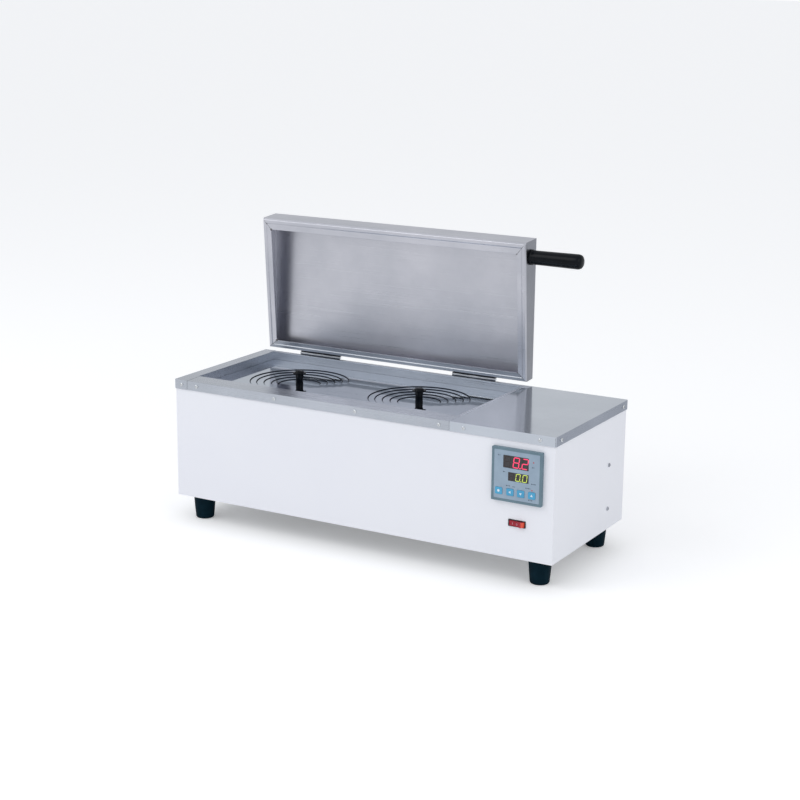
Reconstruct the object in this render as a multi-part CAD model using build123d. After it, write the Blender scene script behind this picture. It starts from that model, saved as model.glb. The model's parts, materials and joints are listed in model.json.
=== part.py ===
"""Laboratory water bath: a steel well with two sets of nested rings, a hinged wedge lid and a control compartment.

Millimetres, +Z up. The pieces are modelled in the casing's own frame: x = 0 at the left edge of the steel rim,
y = 0 at its front edge, z = 0 at the underside of the casing. The last step moves them all so that the origin
is the bottom centre of the whole object's box, between the feet.
"""

from build123d import *
import math
import os

# ---- steel top frame -------------------------------------------------------------------------------------------
rim_length = 600.0
rim_depth = 232.0
casing_height = 172.0
rim_drop = 13.2
steel_sheet = 1.0
rim_corner_radius = 2.0
seam_gap = 0.3
# how far a cut runs past the face that it goes through
past = 1.0
left_rail_width = 19.0
front_rail_width = 33.0
rear_rail_width = 7.0
lap_seam_x = 21.7
lap_seam_depth = 14.8
cover_length = 154.0
well_to_cover = 6.0

# ---- painted casing --------------------------------------------------------------------------------------------
case_sheet = 1.0
case_inset = 1.5
case_top_gap = 0.7
case_return_width = 15.0
base_sheet = 1.0
base_flange_height = 12.0
cutout_corner = 1.0

# ---- feet ------------------------------------------------------------------------------------------------------
foot_height = 36.0
foot_top_radius = 16.1
foot_bottom_radius = 13.1
foot_inset_x = 30.0
foot_inset_y = 26.8
foot_recess_radius = 6.5
foot_recess_depth = 20.0
foot_screw_radius = 2.5
foot_nut_height = 4.0
foot_nut_radius = 5.0
foot_edge = 1.5
foot_screw_end = 2.0
foot_screw_head_radius = 4.5
foot_screw_head_height = 3.5

# ---- small screws ----------------------------------------------------------------------------------------------
screw_radius = 1.5
screw_head_radius = 2.8
screw_head_height = 1.6
screw_head_round = 0.95
screw_cross_length = 3.1
screw_cross_width = 0.7
screw_cross_depth = 0.7
screw_length = 6.0
screw_clearance = 0.15
screw_drop = 6.8
# along the front rim: from the left end, from the cover's left edge, and from the right end
front_screws_left = (12.1, 38.3, 170.5, 301.3)
rear_screws_left = (12.1, 38.3, 230.0)
screws_beside_cover = (-15.5, 20.9)
screw_from_right = 22.5
side_screw_inset = 16.0
panel_screw_inset = 8.0
panel_screw_low_z = 20.0
side_screws_from_rear = 55.0
side_screws_z = (29.7, 91.9)

# ---- well, tank and bath fittings ------------------------------------------------------------------------------
plate_depth = 12.0
plate_sheet = 1.0
plate_clearance = 0.6
ledge_width = 6.0
ledge_sheet = 1.0
tank_sheet = 1.0
tank_floor_z = 20.0
tank_flange = 6.0
tank_rear_flange = 2.5
insulation_gap = 0.3
bulkhead_behind_cover_edge = 6.0
bulkhead_sheet = 1.0
bulkhead_foot = 10.0
bulkhead_hole_gap = 2.0
insulation_nut_gap = 1.0

# ---- nested rings ----------------------------------------------------------------------------------------------
ring_sheet = 0.8
ring_step = 1.1
ring_gap = 0.3
ring_ledge = 3.0
ring_centre_from_left = 110.5
ring_centre_from_right = 111.0
ring_centre_off_middle = 1.5
ring_radii = (72.0, 62.5, 52.0, 41.0, 30.5)

# ---- knob on each centre lid -----------------------------------------------------------------------------------
knob_height = 21.0
knob_base_radius = 5.6
knob_waist_radius = 5.2
knob_waist_height = 8.8
knob_neck_radius = 6.8
knob_brim_radius = 9.8
knob_brim_thickness = 1.6
knob_dome_radius = 7.2
knob_dome_height = 3.0
knob_bore_depth = 12.0
knob_screw_radius = 2.0
knob_screw_head_radius = 3.6
knob_screw_head_height = 1.8
knob_screw_end_gap = 1.0

# ---- hinged lid ------------------------------------------------------------------------------------------------
# how far the shut lid laps over each edge of the well
lid_lap_left = 13.0
lid_lap_right = 4.5
lid_lap_front = 3.1
lid_rear_inset = 0.6
lid_lift = 0.3
lid_rear_height = 20.0
lid_front_height = 35.5
lid_sheet = 1.0
lid_lip_side = 14.0
lid_lip_front = 17.0
lid_lip_rear = 12.0
lid_bevel = 3.0
lid_bevel_inside = 1.8
lid_opening_deg = 85.75

# ---- hinges ----------------------------------------------------------------------------------------------------
hinge_axis_rise = 2.0
hinge_axis_back = 1.9
hinge_from_lid_left = 57.5
hinge_from_lid_right = 49.5
hinge_length = 70.0
hinge_knuckles = 5
hinge_knuckle_gap = 0.3
hinge_barrel_radius = 2.2
hinge_pin_radius = 1.0
hinge_pin_clearance = 0.05
hinge_pin_head_radius = 1.7
hinge_pin_head = 0.8
hinge_leaf = 1.0
hinge_leaf_clearance = 0.3
hinge_arm_overlap = 1.0
hinge_fixed_leaf_drop = 12.4
hinge_lid_leaf_height = 15.0
hinge_screw_spread = 24.0
rivet_radius = 1.5
rivet_head_radius = 2.8
rivet_head_height = 1.0
rivet_height_on_leaf = 10.5

# ---- lid handle ------------------------------------------------------------------------------------------------
handle_length = 79.0
handle_root_radius = 10.0
handle_tip_radius = 10.65
handle_from_front = 23.5
handle_height = 17.6
handle_end_round = 7.0
handle_collar = 3.0
handle_collar_step = 1.0
stud_radius = 3.0
stud_depth_in_handle = 30.0
stud_clearance = 0.1
stud_nut_radius = 5.5
stud_nut_height = 5.0
stud_end = 1.5

# ---- thermostat ------------------------------------------------------------------------------------------------
controller_size = 72.0
controller_from_right = 17.0
controller_drop = 22.7
controller_bezel_thickness = 5.0
controller_corner = 0.9
controller_border = 3.3
controller_face_depth = 1.0
controller_face_sheet = 0.8
controller_face_gap = 0.1
controller_housing_inset = 2.5
controller_housing_depth = 75.0
controller_housing_wall = 2.0
controller_cutout_gap = 0.5
controller_housing_corner = 1.5
controller_face_corner = 1.0
# the layout of the face is drawn for this size and follows controller_size; each window: left, right, top and
# bottom distance from the bezel's top left corner
face_layout_size = 72.0
window_edges = ((16.4, 53.0, 9.6, 26.5), (23.8, 53.3, 31.7, 43.3))
window_gap = 0.1
window_corner = 0.6
display_depth = 2.5
key_centres = (10.8, 27.2, 42.5, 58.3)
key_names = ("set_key", "shift_key", "down_key", "up_key")
key_drop = 58.5
key_width = 10.3
key_height = 9.4
key_corner = 1.6
key_proud = 0.8
key_gap = 0.2
key_flange = 0.6
key_flange_thickness = 0.5
key_flange_gap = 0.1
key_edge = 0.35
key_pocket_depth = 1.6

# ---- rocker switch ---------------------------------------------------------------------------------------------
rocker_off_centre = 0.2
rocker_drop = 28.9
rocker_mouth_length = 23.0
rocker_height = 7.0
rocker_gap = 0.3
rocker_frame_border = 0.8
rocker_frame_thickness = 1.2
rocker_wall = 0.7
rocker_body_depth = 22.0
rocker_cavity_depth = 13.0
rocker_swing_deg = 24.0
rocker_pivot_depth = 3.5
# of the face when the rocker is level: its ends' angle from the pivot, and how far its middle lies before it
rocker_end_angle_deg = 36.0
rocker_middle_rise = 5.3
rocker_back_half = 4.0
rocker_back_depth = 3.0
rocker_back_drop = 3.0
rocker_pin_radius = 1.2
rocker_pin_clearance = 0.08
rocker_pin_end_gap = 0.05
rocker_body_corner = 0.4
rocker_body_overlap = 0.15

# ---- rear fittings ---------------------------------------------------------------------------------------------
inlet_from_right = 52.0
inlet_z = 52.0
inlet_flange = (50.0, 26.0, 3.0)
inlet_flange_corner = 4.0
inlet_ear_inset = 5.0
inlet_ear_radius = 1.8
inlet_body = (29.0, 21.0, 26.0)
inlet_socket = (24.6, 17.6, 17.0)
inlet_pin = (2.0, 4.0, 13.0)
inlet_pin_spread = 7.0
inlet_pin_shift = 2.0
inlet_cutout_gap = 0.4
fuse_z = 88.0
fuse_body_radius = 6.2
fuse_body_depth = 30.0
fuse_cap_radius = 8.5
fuse_cap_height = 7.0
fuse_slot = (12.0, 1.6, 1.5)
drain_x = 60.0
drain_rise = 13.0
drain_pipe_radius = 7.0
drain_bore_radius = 4.5
drain_flange_radius = 11.0
drain_flange_thickness = 1.5
drain_nut_thickness = 3.0
drain_notch_gap = 1.0
tap_body_radius = 9.5
tap_body_length = 20.0
tap_spigot_radius = 6.0
tap_spigot_length = 18.0
tap_thread_depth = 7.0
tap_thread_gap = 0.5
tap_seat = 2.0
tap_bore_radius = 4.0
tap_stem_from_start = 12.0
tap_neck_radius = 4.0
tap_neck_height = 13.0
tap_stem_radius = 2.0
tap_stem_height = 5.0
tap_stem_clearance = 0.05
tap_lever_length = 32.0
tap_lever_width = 8.0
tap_lever_thickness = 2.5
tap_lever_gap = 0.3
tap_lever_round = 3.6
tap_hub_radius = 5.0

# ---- heater, shelf and probe -----------------------------------------------------------------------------------
heater_radius = 4.0
heater_rise = 13.0
heater_leg_spread = 78.0
heater_bend_radius = 30.0
heater_far_gap = 30.0
heater_tail = 21.0
bushing_radius = 7.5
bushing_flange_radius = 11.0
bushing_flange_thickness = 2.0
bushing_length = 8.0
bushing_clearance = 0.1
bushing_nut_thickness = 3.0
shelf_sheet = 1.5
shelf_rise = 26.0
shelf_inset = 3.0
shelf_hole_radius = 5.0
shelf_hole_pitch = 24.0
shelf_hole_margin = 8.0
probe_radius = 2.5
probe_y = 60.0
probe_reach = 60.0
probe_tail = 9.0
probe_tip_round = 2.0
gland_radius = 7.0
gland_length = 6.0

# ---- control compartment ---------------------------------------------------------------------------------------
bracket_sheet = 1.5
bracket_width = 28.0
bracket_margin = 12.0
relay_size = (24.0, 45.0, 58.0)
terminal_block_size = (70.0, 22.0, 18.0)
terminal_from_bulkhead = 18.0
terminal_from_rear = 60.0
terminal_well_radius = 2.5
terminal_well_depth = 9.0
terminal_row_inset = 6.2
terminal_ways = 6

# ---- worked out from the values above --------------------------------------------------------------------------
rim_under_z = casing_height - steel_sheet
rim_bottom_z = casing_height - rim_drop
case_left = case_inset
case_right = rim_length - case_inset
case_front = case_inset
case_rear = rim_depth - case_inset
case_top_z = rim_under_z - case_top_gap
cover_left_x = rim_length - cover_length
well_left = left_rail_width
well_right_x = cover_left_x - well_to_cover
bulkhead_x = cover_left_x + bulkhead_behind_cover_edge
well_front = front_rail_width
well_rear = rim_depth - rear_rail_width
plate_top_z = casing_height - plate_depth
plate_under_z = plate_top_z - plate_sheet
tank_inside_z = tank_floor_z + tank_sheet
hinge_y = rim_depth + hinge_axis_back
hinge_z = casing_height + hinge_axis_rise
lid_rim_z = casing_height + lid_lift
lid_left_x = well_left - lid_lap_left
lid_right_x = well_right_x + lid_lap_right
lid_rear_y = rim_depth - lid_rear_inset
lid_front_y = well_front - lid_lap_front
lid_depth = lid_rear_y - lid_front_y
hinge_starts_x = (lid_left_x + hinge_from_lid_left, lid_right_x - hinge_from_lid_right - hinge_length)
heater_z = tank_inside_z + heater_rise
tank_centre_y = (well_front + well_rear) / 2
ring_centre_y = tank_centre_y - ring_centre_off_middle
ring_centres_x = {"left": well_left + ring_centre_from_left, "right": well_right_x - ring_centre_from_right}
shelf_z = tank_inside_z + shelf_rise
screw_z = casing_height - screw_drop
screws_x = tuple(cover_left_x + shift for shift in screws_beside_cover) + (rim_length - screw_from_right,)
side_screws_y = rim_depth - side_screws_from_rear
controller_left_x = rim_length - controller_from_right - controller_size
controller_top_z = casing_height - controller_drop
controller_x = controller_left_x + controller_size / 2
controller_z = controller_top_z - controller_size / 2
rocker_centre_x = controller_x + rocker_off_centre
rocker_centre_z = controller_top_z - controller_size - rocker_drop
rocker_pivot_y = case_front - rocker_frame_thickness + rocker_pivot_depth
inlet_x = rim_length - inlet_from_right
bezel_front_y = case_front - controller_bezel_thickness
face_front_y = bezel_front_y + controller_face_depth - controller_face_sheet
face_rear_y = face_front_y + controller_face_sheet
face_scale = controller_size / face_layout_size
controller_housing_size = controller_size - 2 * controller_housing_inset
heater_legs_y = (tank_centre_y - heater_leg_spread / 2, tank_centre_y + heater_leg_spread / 2)
drain_z = tank_floor_z + drain_rise
tap_start_y = rim_depth + 2.0
pin_hole_radius = hinge_pin_radius + hinge_pin_clearance

MIN3 = (Align.MIN, Align.MIN, Align.MIN)
FROM_BASE = (Align.CENTER, Align.CENTER, Align.MIN)


# ---- plain shapes ----------------------------------------------------------------------------------------------
def block(x0, x1, y0, y1, z0, z1):
    """A box between two opposite corners."""
    return Pos(x0, y0, z0) * Box(x1 - x0, y1 - y0, z1 - z0, align=MIN3)


def rod_x(x0, x1, y, z, radius):
    """A cylinder along X."""
    return Pos(x0, y, z) * Rot(0, 90, 0) * Cylinder(radius, x1 - x0, align=FROM_BASE)


def rod_y(x, y0, y1, z, radius):
    """A cylinder along Y."""
    return Pos(x, y0, z) * Rot(-90, 0, 0) * Cylinder(radius, y1 - y0, align=FROM_BASE)


def rod_z(x, y, z0, z1, radius):
    """A cylinder along Z."""
    return Pos(x, y, z0) * Cylinder(radius, z1 - z0, align=FROM_BASE)


def hexagon(radius, height):
    """A six-sided nut blank, standing on the XY plane."""
    return extrude(RegularPolygon(radius, 6), height)


def facing(width, height, depth, corner, front_y, middle):
    """A plate with rounded corners that faces the front, its middle given as x and z, which goes back by depth."""
    plane = Plane(origin=(middle[0], front_y, middle[1]), x_dir=(1, 0, 0), z_dir=(0, -1, 0))
    return extrude(plane * RectangleRounded(width, height, corner), -depth)


def turned(*points):
    """A solid of revolution about Z, from a closed outline of radius and height."""
    outline = make_face(Plane.XZ * Polyline(*points, close=True))
    return revolve(outline, Axis.Z)


def group(shapes):
    """Separate solids of one kind as one node."""
    return Compound([solid for shape in shapes for solid in shape.solids()])


def pan_screw(length=screw_length):
    """A pan-head screw with a cross recess; the head's seat is at z = 0 and the shank points down."""
    head = Cylinder(screw_head_radius, screw_head_height, align=FROM_BASE)
    head = fillet(head.edges().sort_by(Axis.Z)[-1], screw_head_round)
    for angle in (0, 90):
        head -= Pos(0, 0, screw_head_height) * Rot(0, 0, angle) * Box(
            screw_cross_length, screw_cross_width, 2 * screw_cross_depth)
    return head + Pos(0, 0, -length) * Cylinder(screw_radius, length, align=FROM_BASE)


# the four ways a screw can face: its head points to the front, the rear, the left or the right
TO_FRONT = Rot(90, 0, 0)
TO_REAR = Rot(-90, 0, 0)
TO_LEFT = Rot(0, -90, 0)
TO_RIGHT = Rot(0, 90, 0)


def rim_screw_places():
    """Where the rim's screws sit, and which way each one faces."""
    places = [Pos(x, 0, screw_z) * TO_FRONT for x in front_screws_left + screws_x]
    places += [Pos(x, rim_depth, screw_z) * TO_REAR for x in rear_screws_left + screws_x]
    for y in (side_screw_inset, rim_depth - side_screw_inset):
        places += [Pos(0, y, screw_z) * TO_LEFT, Pos(rim_length, y, screw_z) * TO_RIGHT]
    return places


def hinge_screw_places():
    """Where the screws of the fixed hinge leaves sit."""
    middles = [start + hinge_length / 2 for start in hinge_starts_x]
    xs = [middle + side * hinge_screw_spread for middle in middles for side in (-1, 1)]
    return [Pos(x, rim_depth + hinge_leaf, screw_z) * TO_REAR for x in xs]


def rear_panel_screw_places():
    """Where the screws of the rear panel sit."""
    xs = (case_left + panel_screw_inset, case_right - panel_screw_inset)
    zs = (panel_screw_low_z, casing_height / 2)
    return [Pos(x, case_rear, z) * TO_REAR for x in xs for z in zs]


def case_screw_places():
    """Where every screw of the rim, the rear panel and the fixed hinge leaves sits."""
    return rim_screw_places() + rear_panel_screw_places() + hinge_screw_places()


def side_screw_places():
    """Where the two screws in the right wall sit."""
    return [Pos(case_right, side_screws_y, z) * TO_RIGHT for z in side_screws_z]


def shank_holes(places):
    """Clearance holes for screws at these places."""
    long = Cylinder(screw_radius + screw_clearance, 4 * screw_length)
    return [place * long for place in places]


# ---- steel top frame -------------------------------------------------------------------------------------------
def rounded_slab(inset, radius, z0, z1):
    """The rim's outline as a slab, drawn in by inset."""
    outline = RectangleRounded(rim_length - 2 * inset, rim_depth - 2 * inset, radius)
    return Pos(rim_length / 2, rim_depth / 2, z0) * extrude(outline, z1 - z0)


def top_frame():
    """The rails and the cover, each with its turned-down rim, cut from one folded outline."""
    skin = rounded_slab(0, rim_corner_radius, rim_bottom_z, casing_height)
    skin -= rounded_slab(steel_sheet, rim_corner_radius - steel_sheet / 2, rim_bottom_z - past, rim_under_z)
    for hole in shank_holes(rim_screw_places() + hinge_screw_places()):
        skin -= hole
    high, low = casing_height + past, rim_bottom_z - past
    seam = seam_gap / 2
    rails_end = cover_left_x - seam_gap
    lap = Polyline(
        (-past, -past), (lap_seam_x, -past), (lap_seam_x, lap_seam_depth), (well_left, well_front),
        (well_left, rim_depth + past), (-past, rim_depth + past), close=True,
    )
    left_zone = Pos(0, 0, low) * extrude(make_face(lap), high - low)
    open_well = block(well_left, cover_left_x, well_front, well_rear, low, high)
    front_zone = block(0, rails_end, -past, well_front, low, high)
    rear_zone = block(well_left + seam, rails_end, well_rear, rim_depth + past, low, high)
    cover_zone = block(cover_left_x, rim_length + past, -past, rim_depth + past, low, high)
    apart = Pos(seam_gap, 0, 0) * left_zone
    cover_lip = block(cover_left_x, cover_left_x + steel_sheet, case_front + case_sheet + seam_gap,
                      case_rear - case_sheet - seam_gap, rim_bottom_z, rim_under_z)
    corner_slit = block(rim_length - steel_sheet - seam_gap, rim_length - steel_sheet, -past, steel_sheet,
                        low, rim_under_z)
    return {
        "left_rail": (skin & left_zone) - open_well,
        "front_rail": (skin & front_zone) - apart,
        "rear_rail": skin & rear_zone,
        "control_cover": (skin & cover_zone) + cover_lip - corner_slit,
    }


# ---- painted casing --------------------------------------------------------------------------------------------
def foot_places():
    """The centres of the four feet."""
    xs = (foot_inset_x, rim_length - foot_inset_x)
    ys = (foot_inset_y, rim_depth - foot_inset_y)
    return [Pos(x, y, 0) for x in xs for y in ys]


def casing():
    """The wrap of front and side walls, the rear panel and the base plate."""
    rear_inside = case_rear - case_sheet
    wrap = block(case_left, case_right, case_front, rear_inside, 0, case_top_z)
    wrap -= block(case_left + case_sheet, case_right - case_sheet, case_front + case_sheet,
                  rear_inside - case_sheet, -past, case_top_z + past)
    wrap -= block(case_left + case_return_width, case_right - case_return_width,
                  rear_inside - 2 * case_sheet, rear_inside + past, -past, case_top_z + past)
    opening = controller_housing_size + 2 * controller_cutout_gap
    wrap -= facing(opening, opening, case_sheet + 2 * past, cutout_corner, case_front - past,
                   (controller_x, controller_z))
    wrap -= facing(*rocker_body_size(rocker_gap), case_sheet + 2 * past, rocker_body_corner, case_front - past,
                   (rocker_centre_x, rocker_centre_z))

    rear = block(case_left, case_right, rear_inside, case_rear, 0, case_top_z)
    rear -= block(inlet_x - inlet_body[0] / 2 - inlet_cutout_gap, inlet_x + inlet_body[0] / 2 + inlet_cutout_gap,
                  rear_inside - past, case_rear + past, inlet_z - inlet_body[1] / 2 - inlet_cutout_gap,
                  inlet_z + inlet_body[1] / 2 + inlet_cutout_gap)
    rear -= rod_y(inlet_x, rear_inside - past, case_rear + past, fuse_z, fuse_body_radius + screw_clearance)
    rear -= rod_y(drain_x, rear_inside - past, case_rear + past, drain_z, drain_pipe_radius + screw_clearance)

    base = block(case_left + case_sheet, case_right - case_sheet, case_front + case_sheet, rear_inside - case_sheet,
                 0, base_sheet)
    flange_top = base_sheet + base_flange_height
    inner_front = case_front + case_sheet
    base += block(case_left + case_sheet, case_right - case_sheet, inner_front, inner_front + base_sheet,
                  base_sheet, flange_top)
    for side_x in (case_left + case_sheet, case_right - case_sheet - base_sheet):
        base += block(side_x, side_x + base_sheet, inner_front, rear_inside - case_sheet, base_sheet, flange_top)

    for hole in shank_holes(rim_screw_places() + side_screw_places() + rear_panel_screw_places()):
        wrap -= hole
    for hole in shank_holes(rim_screw_places() + hinge_screw_places() + rear_panel_screw_places()):
        rear -= hole
    for hole in shank_holes(side_screw_places()):
        base -= hole
    for place in foot_places():
        base -= place * Cylinder(foot_screw_radius + screw_clearance, 4 * base_sheet)
    return {
        "casing_wrap": wrap,
        "rear_panel": rear,
        "base_plate": base,
        "case_screws": group([place * pan_screw() for place in case_screw_places()]),
        "side_screws": group([place * pan_screw() for place in side_screw_places()]),
    }


def feet():
    """Four tapered feet, each held by a screw from its recess and a nut on the base plate."""
    recess_roof = foot_recess_depth - foot_height
    foot = turned((0, 0), (foot_top_radius, 0), (foot_bottom_radius, -foot_height + foot_edge),
                  (foot_bottom_radius - foot_edge, -foot_height), (foot_recess_radius, -foot_height),
                  (foot_recess_radius, recess_roof), (0, recess_roof))
    foot -= Cylinder(foot_screw_radius + screw_clearance, 4 * foot_height)
    head_z = recess_roof - foot_screw_head_height
    screw = rod_z(0, 0, head_z, recess_roof, foot_screw_head_radius)
    screw += rod_z(0, 0, head_z, base_sheet + foot_nut_height + foot_screw_end, foot_screw_radius)
    nut = Pos(0, 0, base_sheet) * hexagon(foot_nut_radius, foot_nut_height)
    nut -= Cylinder(foot_screw_radius + screw_clearance, 4 * foot_nut_height)
    places = foot_places()
    return {
        "feet": group([place * foot for place in places]),
        "foot_bolts": group([place * piece for place in places for piece in (screw, nut)]),
    }


# ---- well, tank and bath fittings ------------------------------------------------------------------------------
def tank_parts():
    """The welded tank with the ledge for the ring plate, its insulation and the bulkhead beside it."""
    outer = [well_left - tank_sheet, well_right_x + tank_sheet, well_front - tank_sheet, well_rear + tank_sheet]
    tank = block(*outer, tank_floor_z, rim_under_z)
    tank += block(outer[0] - tank_flange, outer[1] + tank_flange - tank_sheet - seam_gap, outer[2] - tank_flange,
                  outer[3] + tank_rear_flange, rim_under_z - tank_sheet, rim_under_z)
    tank -= block(well_left, well_right_x, well_front, well_rear, tank_inside_z, rim_under_z + past)
    ledge_z = plate_under_z - ledge_sheet
    ledge = block(well_left, well_right_x, well_front, well_rear, ledge_z, plate_under_z)
    ledge -= block(well_left + ledge_width, well_right_x - ledge_width, well_front + ledge_width,
                   well_rear - ledge_width, ledge_z - past, plate_under_z + past)
    tank += ledge
    through_wall = (well_right_x - past, well_right_x + tank_sheet + past)
    tank_holes = [rod_x(*through_wall, y, heater_z, bushing_radius) for y in heater_legs_y]
    tank_holes.append(rod_x(*through_wall, probe_y, heater_z, probe_radius))
    tank_holes.append(rod_y(drain_x, well_rear - past, well_rear + tank_sheet + past, drain_z, drain_pipe_radius))
    for hole in tank_holes:
        tank -= hole

    gap = insulation_gap
    case_inner = [case_left + case_sheet + gap, bulkhead_x - gap, case_front + case_sheet + base_sheet + gap,
                  case_rear - case_sheet - gap]
    blanket = block(*case_inner, base_sheet + gap, rim_bottom_z - gap)
    blanket -= block(outer[0] - gap, outer[1] + gap, outer[2] - gap, outer[3] + gap, tank_floor_z - gap,
                     casing_height)
    blanket -= block(0, case_left + case_sheet + base_sheet + gap, 0, rim_depth, 0,
                     base_sheet + base_flange_height + gap)
    blanket -= block(0, case_left + case_return_width + gap, case_rear - 2 * case_sheet - gap, rim_depth, 0,
                     casing_height)
    for y in heater_legs_y:
        blanket -= rod_x(well_right_x, bulkhead_x + past, y, heater_z, bushing_flange_radius + gap)
    blanket -= rod_x(well_right_x, bulkhead_x + past, probe_y, heater_z, gland_radius + gap)
    blanket -= rod_y(drain_x, well_rear, rim_depth, drain_z, drain_flange_radius + gap)
    for place in foot_places():
        blanket -= place * rod_z(0, 0, 0, base_sheet + foot_nut_height + foot_screw_end + insulation_nut_gap,
                                 foot_nut_radius + insulation_nut_gap)
    for place in rear_panel_screw_places():
        blanket -= place * Cylinder(screw_radius + gap, 4 * screw_length)

    inner_y = (case_front + case_sheet + base_sheet + gap, case_rear - 2 * case_sheet - gap)
    bulkhead = block(bulkhead_x, bulkhead_x + bulkhead_sheet, *inner_y, base_sheet, rim_bottom_z - gap)
    bulkhead += block(bulkhead_x, bulkhead_x + bulkhead_foot, *inner_y, base_sheet, base_sheet + bulkhead_sheet)
    for y in heater_legs_y:
        bulkhead -= rod_x(bulkhead_x - past, bulkhead_x + bulkhead_sheet + past, y, heater_z,
                          heater_radius + bulkhead_hole_gap)
    return {"tank": tank, "insulation": blanket, "bulkhead": bulkhead}


def bath_fittings():
    """The heater and its bushings, the perforated shelf, the temperature probe and its gland."""
    near, far = heater_legs_y
    start_x = bulkhead_x + heater_tail
    end_x = well_left + heater_far_gap
    route = FilletPolyline((start_x, near, heater_z), (end_x, near, heater_z), (end_x, far, heater_z),
                           (start_x, far, heater_z), radius=heater_bend_radius)
    section = Plane(origin=(start_x, near, heater_z), z_dir=(-1, 0, 0)) * Circle(heater_radius)
    heater = sweep(section, path=route)
    bushings = []
    for y in heater_legs_y:
        bushing = rod_x(well_right_x - bushing_flange_thickness, well_right_x, y, heater_z, bushing_flange_radius)
        bushing += rod_x(well_right_x, well_right_x + bushing_length, y, heater_z, bushing_radius)
        nut = Pos(well_right_x + tank_sheet, y, heater_z) * Rot(0, 90, 0) * hexagon(
            bushing_flange_radius, bushing_nut_thickness)
        bushing -= rod_x(0, rim_length, y, heater_z, heater_radius + bushing_clearance)
        nut -= rod_x(0, rim_length, y, heater_z, bushing_radius + bushing_clearance)
        bushings += [bushing, nut]

    x0, x1 = well_left + shelf_inset, well_right_x - shelf_inset
    y0, y1 = well_front + shelf_inset, well_rear - shelf_inset
    shelf = block(x0, x1, y0, y1, shelf_z, shelf_z + shelf_sheet)
    for y in (y0, y1 - shelf_sheet):
        shelf += block(x0, x1, y, y + shelf_sheet, tank_inside_z, shelf_z)
    counts = [int((side - 2 * shelf_hole_margin) // shelf_hole_pitch) for side in (x1 - x0, y1 - y0)]
    holes = Sketch() + GridLocations(shelf_hole_pitch, shelf_hole_pitch, *counts) * Circle(shelf_hole_radius)
    shelf -= Pos((x0 + x1) / 2, (y0 + y1) / 2, shelf_z - past) * extrude(holes, shelf_sheet + 2 * past)
    notch = drain_flange_radius + drain_notch_gap
    shelf -= block(drain_x - notch, drain_x + notch, y1 - 2 * shelf_sheet, y1 + shelf_sheet, tank_inside_z - past,
                   drain_z + notch)

    probe = rod_x(well_right_x - probe_reach, well_right_x + probe_tail, probe_y, heater_z, probe_radius)
    tip = probe.edges().filter_by(GeomType.CIRCLE).sort_by(Axis.X)[0]
    probe = fillet(tip, probe_tip_round)
    gland = Pos(well_right_x + tank_sheet, probe_y, heater_z) * Rot(0, 90, 0) * hexagon(gland_radius, gland_length)
    gland -= rod_x(well_right_x, rim_length, probe_y, heater_z, probe_radius + bushing_clearance)
    return {
        "heater": heater,
        "tank_glands": group(bushings + [gland]),
        "heater_shelf": shelf,
        "temperature_probe": probe,
    }


# ---- ring plate, rings, centre lids and knobs ------------------------------------------------------------------
def seat_outline(radius, top):
    """The turned-down seat that a ring or lid of this radius drops into, below a surface at top."""
    wall = radius + ring_gap
    seat = top - ring_step - ring_sheet
    return [(wall, top), (wall, seat), (radius - ring_ledge, seat), (radius - ring_ledge, seat - ring_sheet),
            (wall + ring_sheet, seat - ring_sheet)]


def ring(number, top):
    """Ring number, counted from the outside, with its top at top and the seat of the next one inside it."""
    outside = ring_radii[number - 1]
    seat = seat_outline(ring_radii[number], top)
    under = top - ring_sheet
    return turned(*seat, (seat[-1][0], under), (outside, under), (outside, top))


def knob(base_z):
    """A knob waisted under a thin brim and a domed head, with a blind bore for its screw."""
    top_z = base_z + knob_height
    brim_top_z = top_z - knob_dome_height
    neck_z = brim_top_z - knob_brim_thickness
    waist_z = base_z + knob_waist_height
    side = Line((0, base_z), (knob_base_radius, base_z))
    side += Spline((knob_base_radius, base_z), (knob_waist_radius, waist_z), (knob_neck_radius, neck_z),
                   tangents=((-0.1, 1), (0.4, 1)))
    side += Line((knob_neck_radius, neck_z), (knob_brim_radius, neck_z))
    side += Line((knob_brim_radius, neck_z), (knob_brim_radius, brim_top_z))
    side += Line((knob_brim_radius, brim_top_z), (knob_dome_radius, brim_top_z))
    side += Spline((knob_dome_radius, brim_top_z), (0, top_z), tangents=((-0.2, 1), (-1, 0)))
    side += Line((0, top_z), (0, base_z))
    solid = revolve(make_face(Plane.XZ * side), Axis.Z)
    return solid - rod_z(0, 0, base_z - past, base_z + knob_bore_depth, knob_screw_radius + screw_clearance)


def knob_screw(lid_under_z):
    """The screw that holds a knob, its head under the centre lid."""
    head = rod_z(0, 0, lid_under_z - knob_screw_head_height, lid_under_z, knob_screw_head_radius)
    shank_top = lid_under_z + ring_sheet + knob_bore_depth - knob_screw_end_gap
    return head + rod_z(0, 0, lid_under_z - knob_screw_head_height, shank_top, knob_screw_radius)


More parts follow.
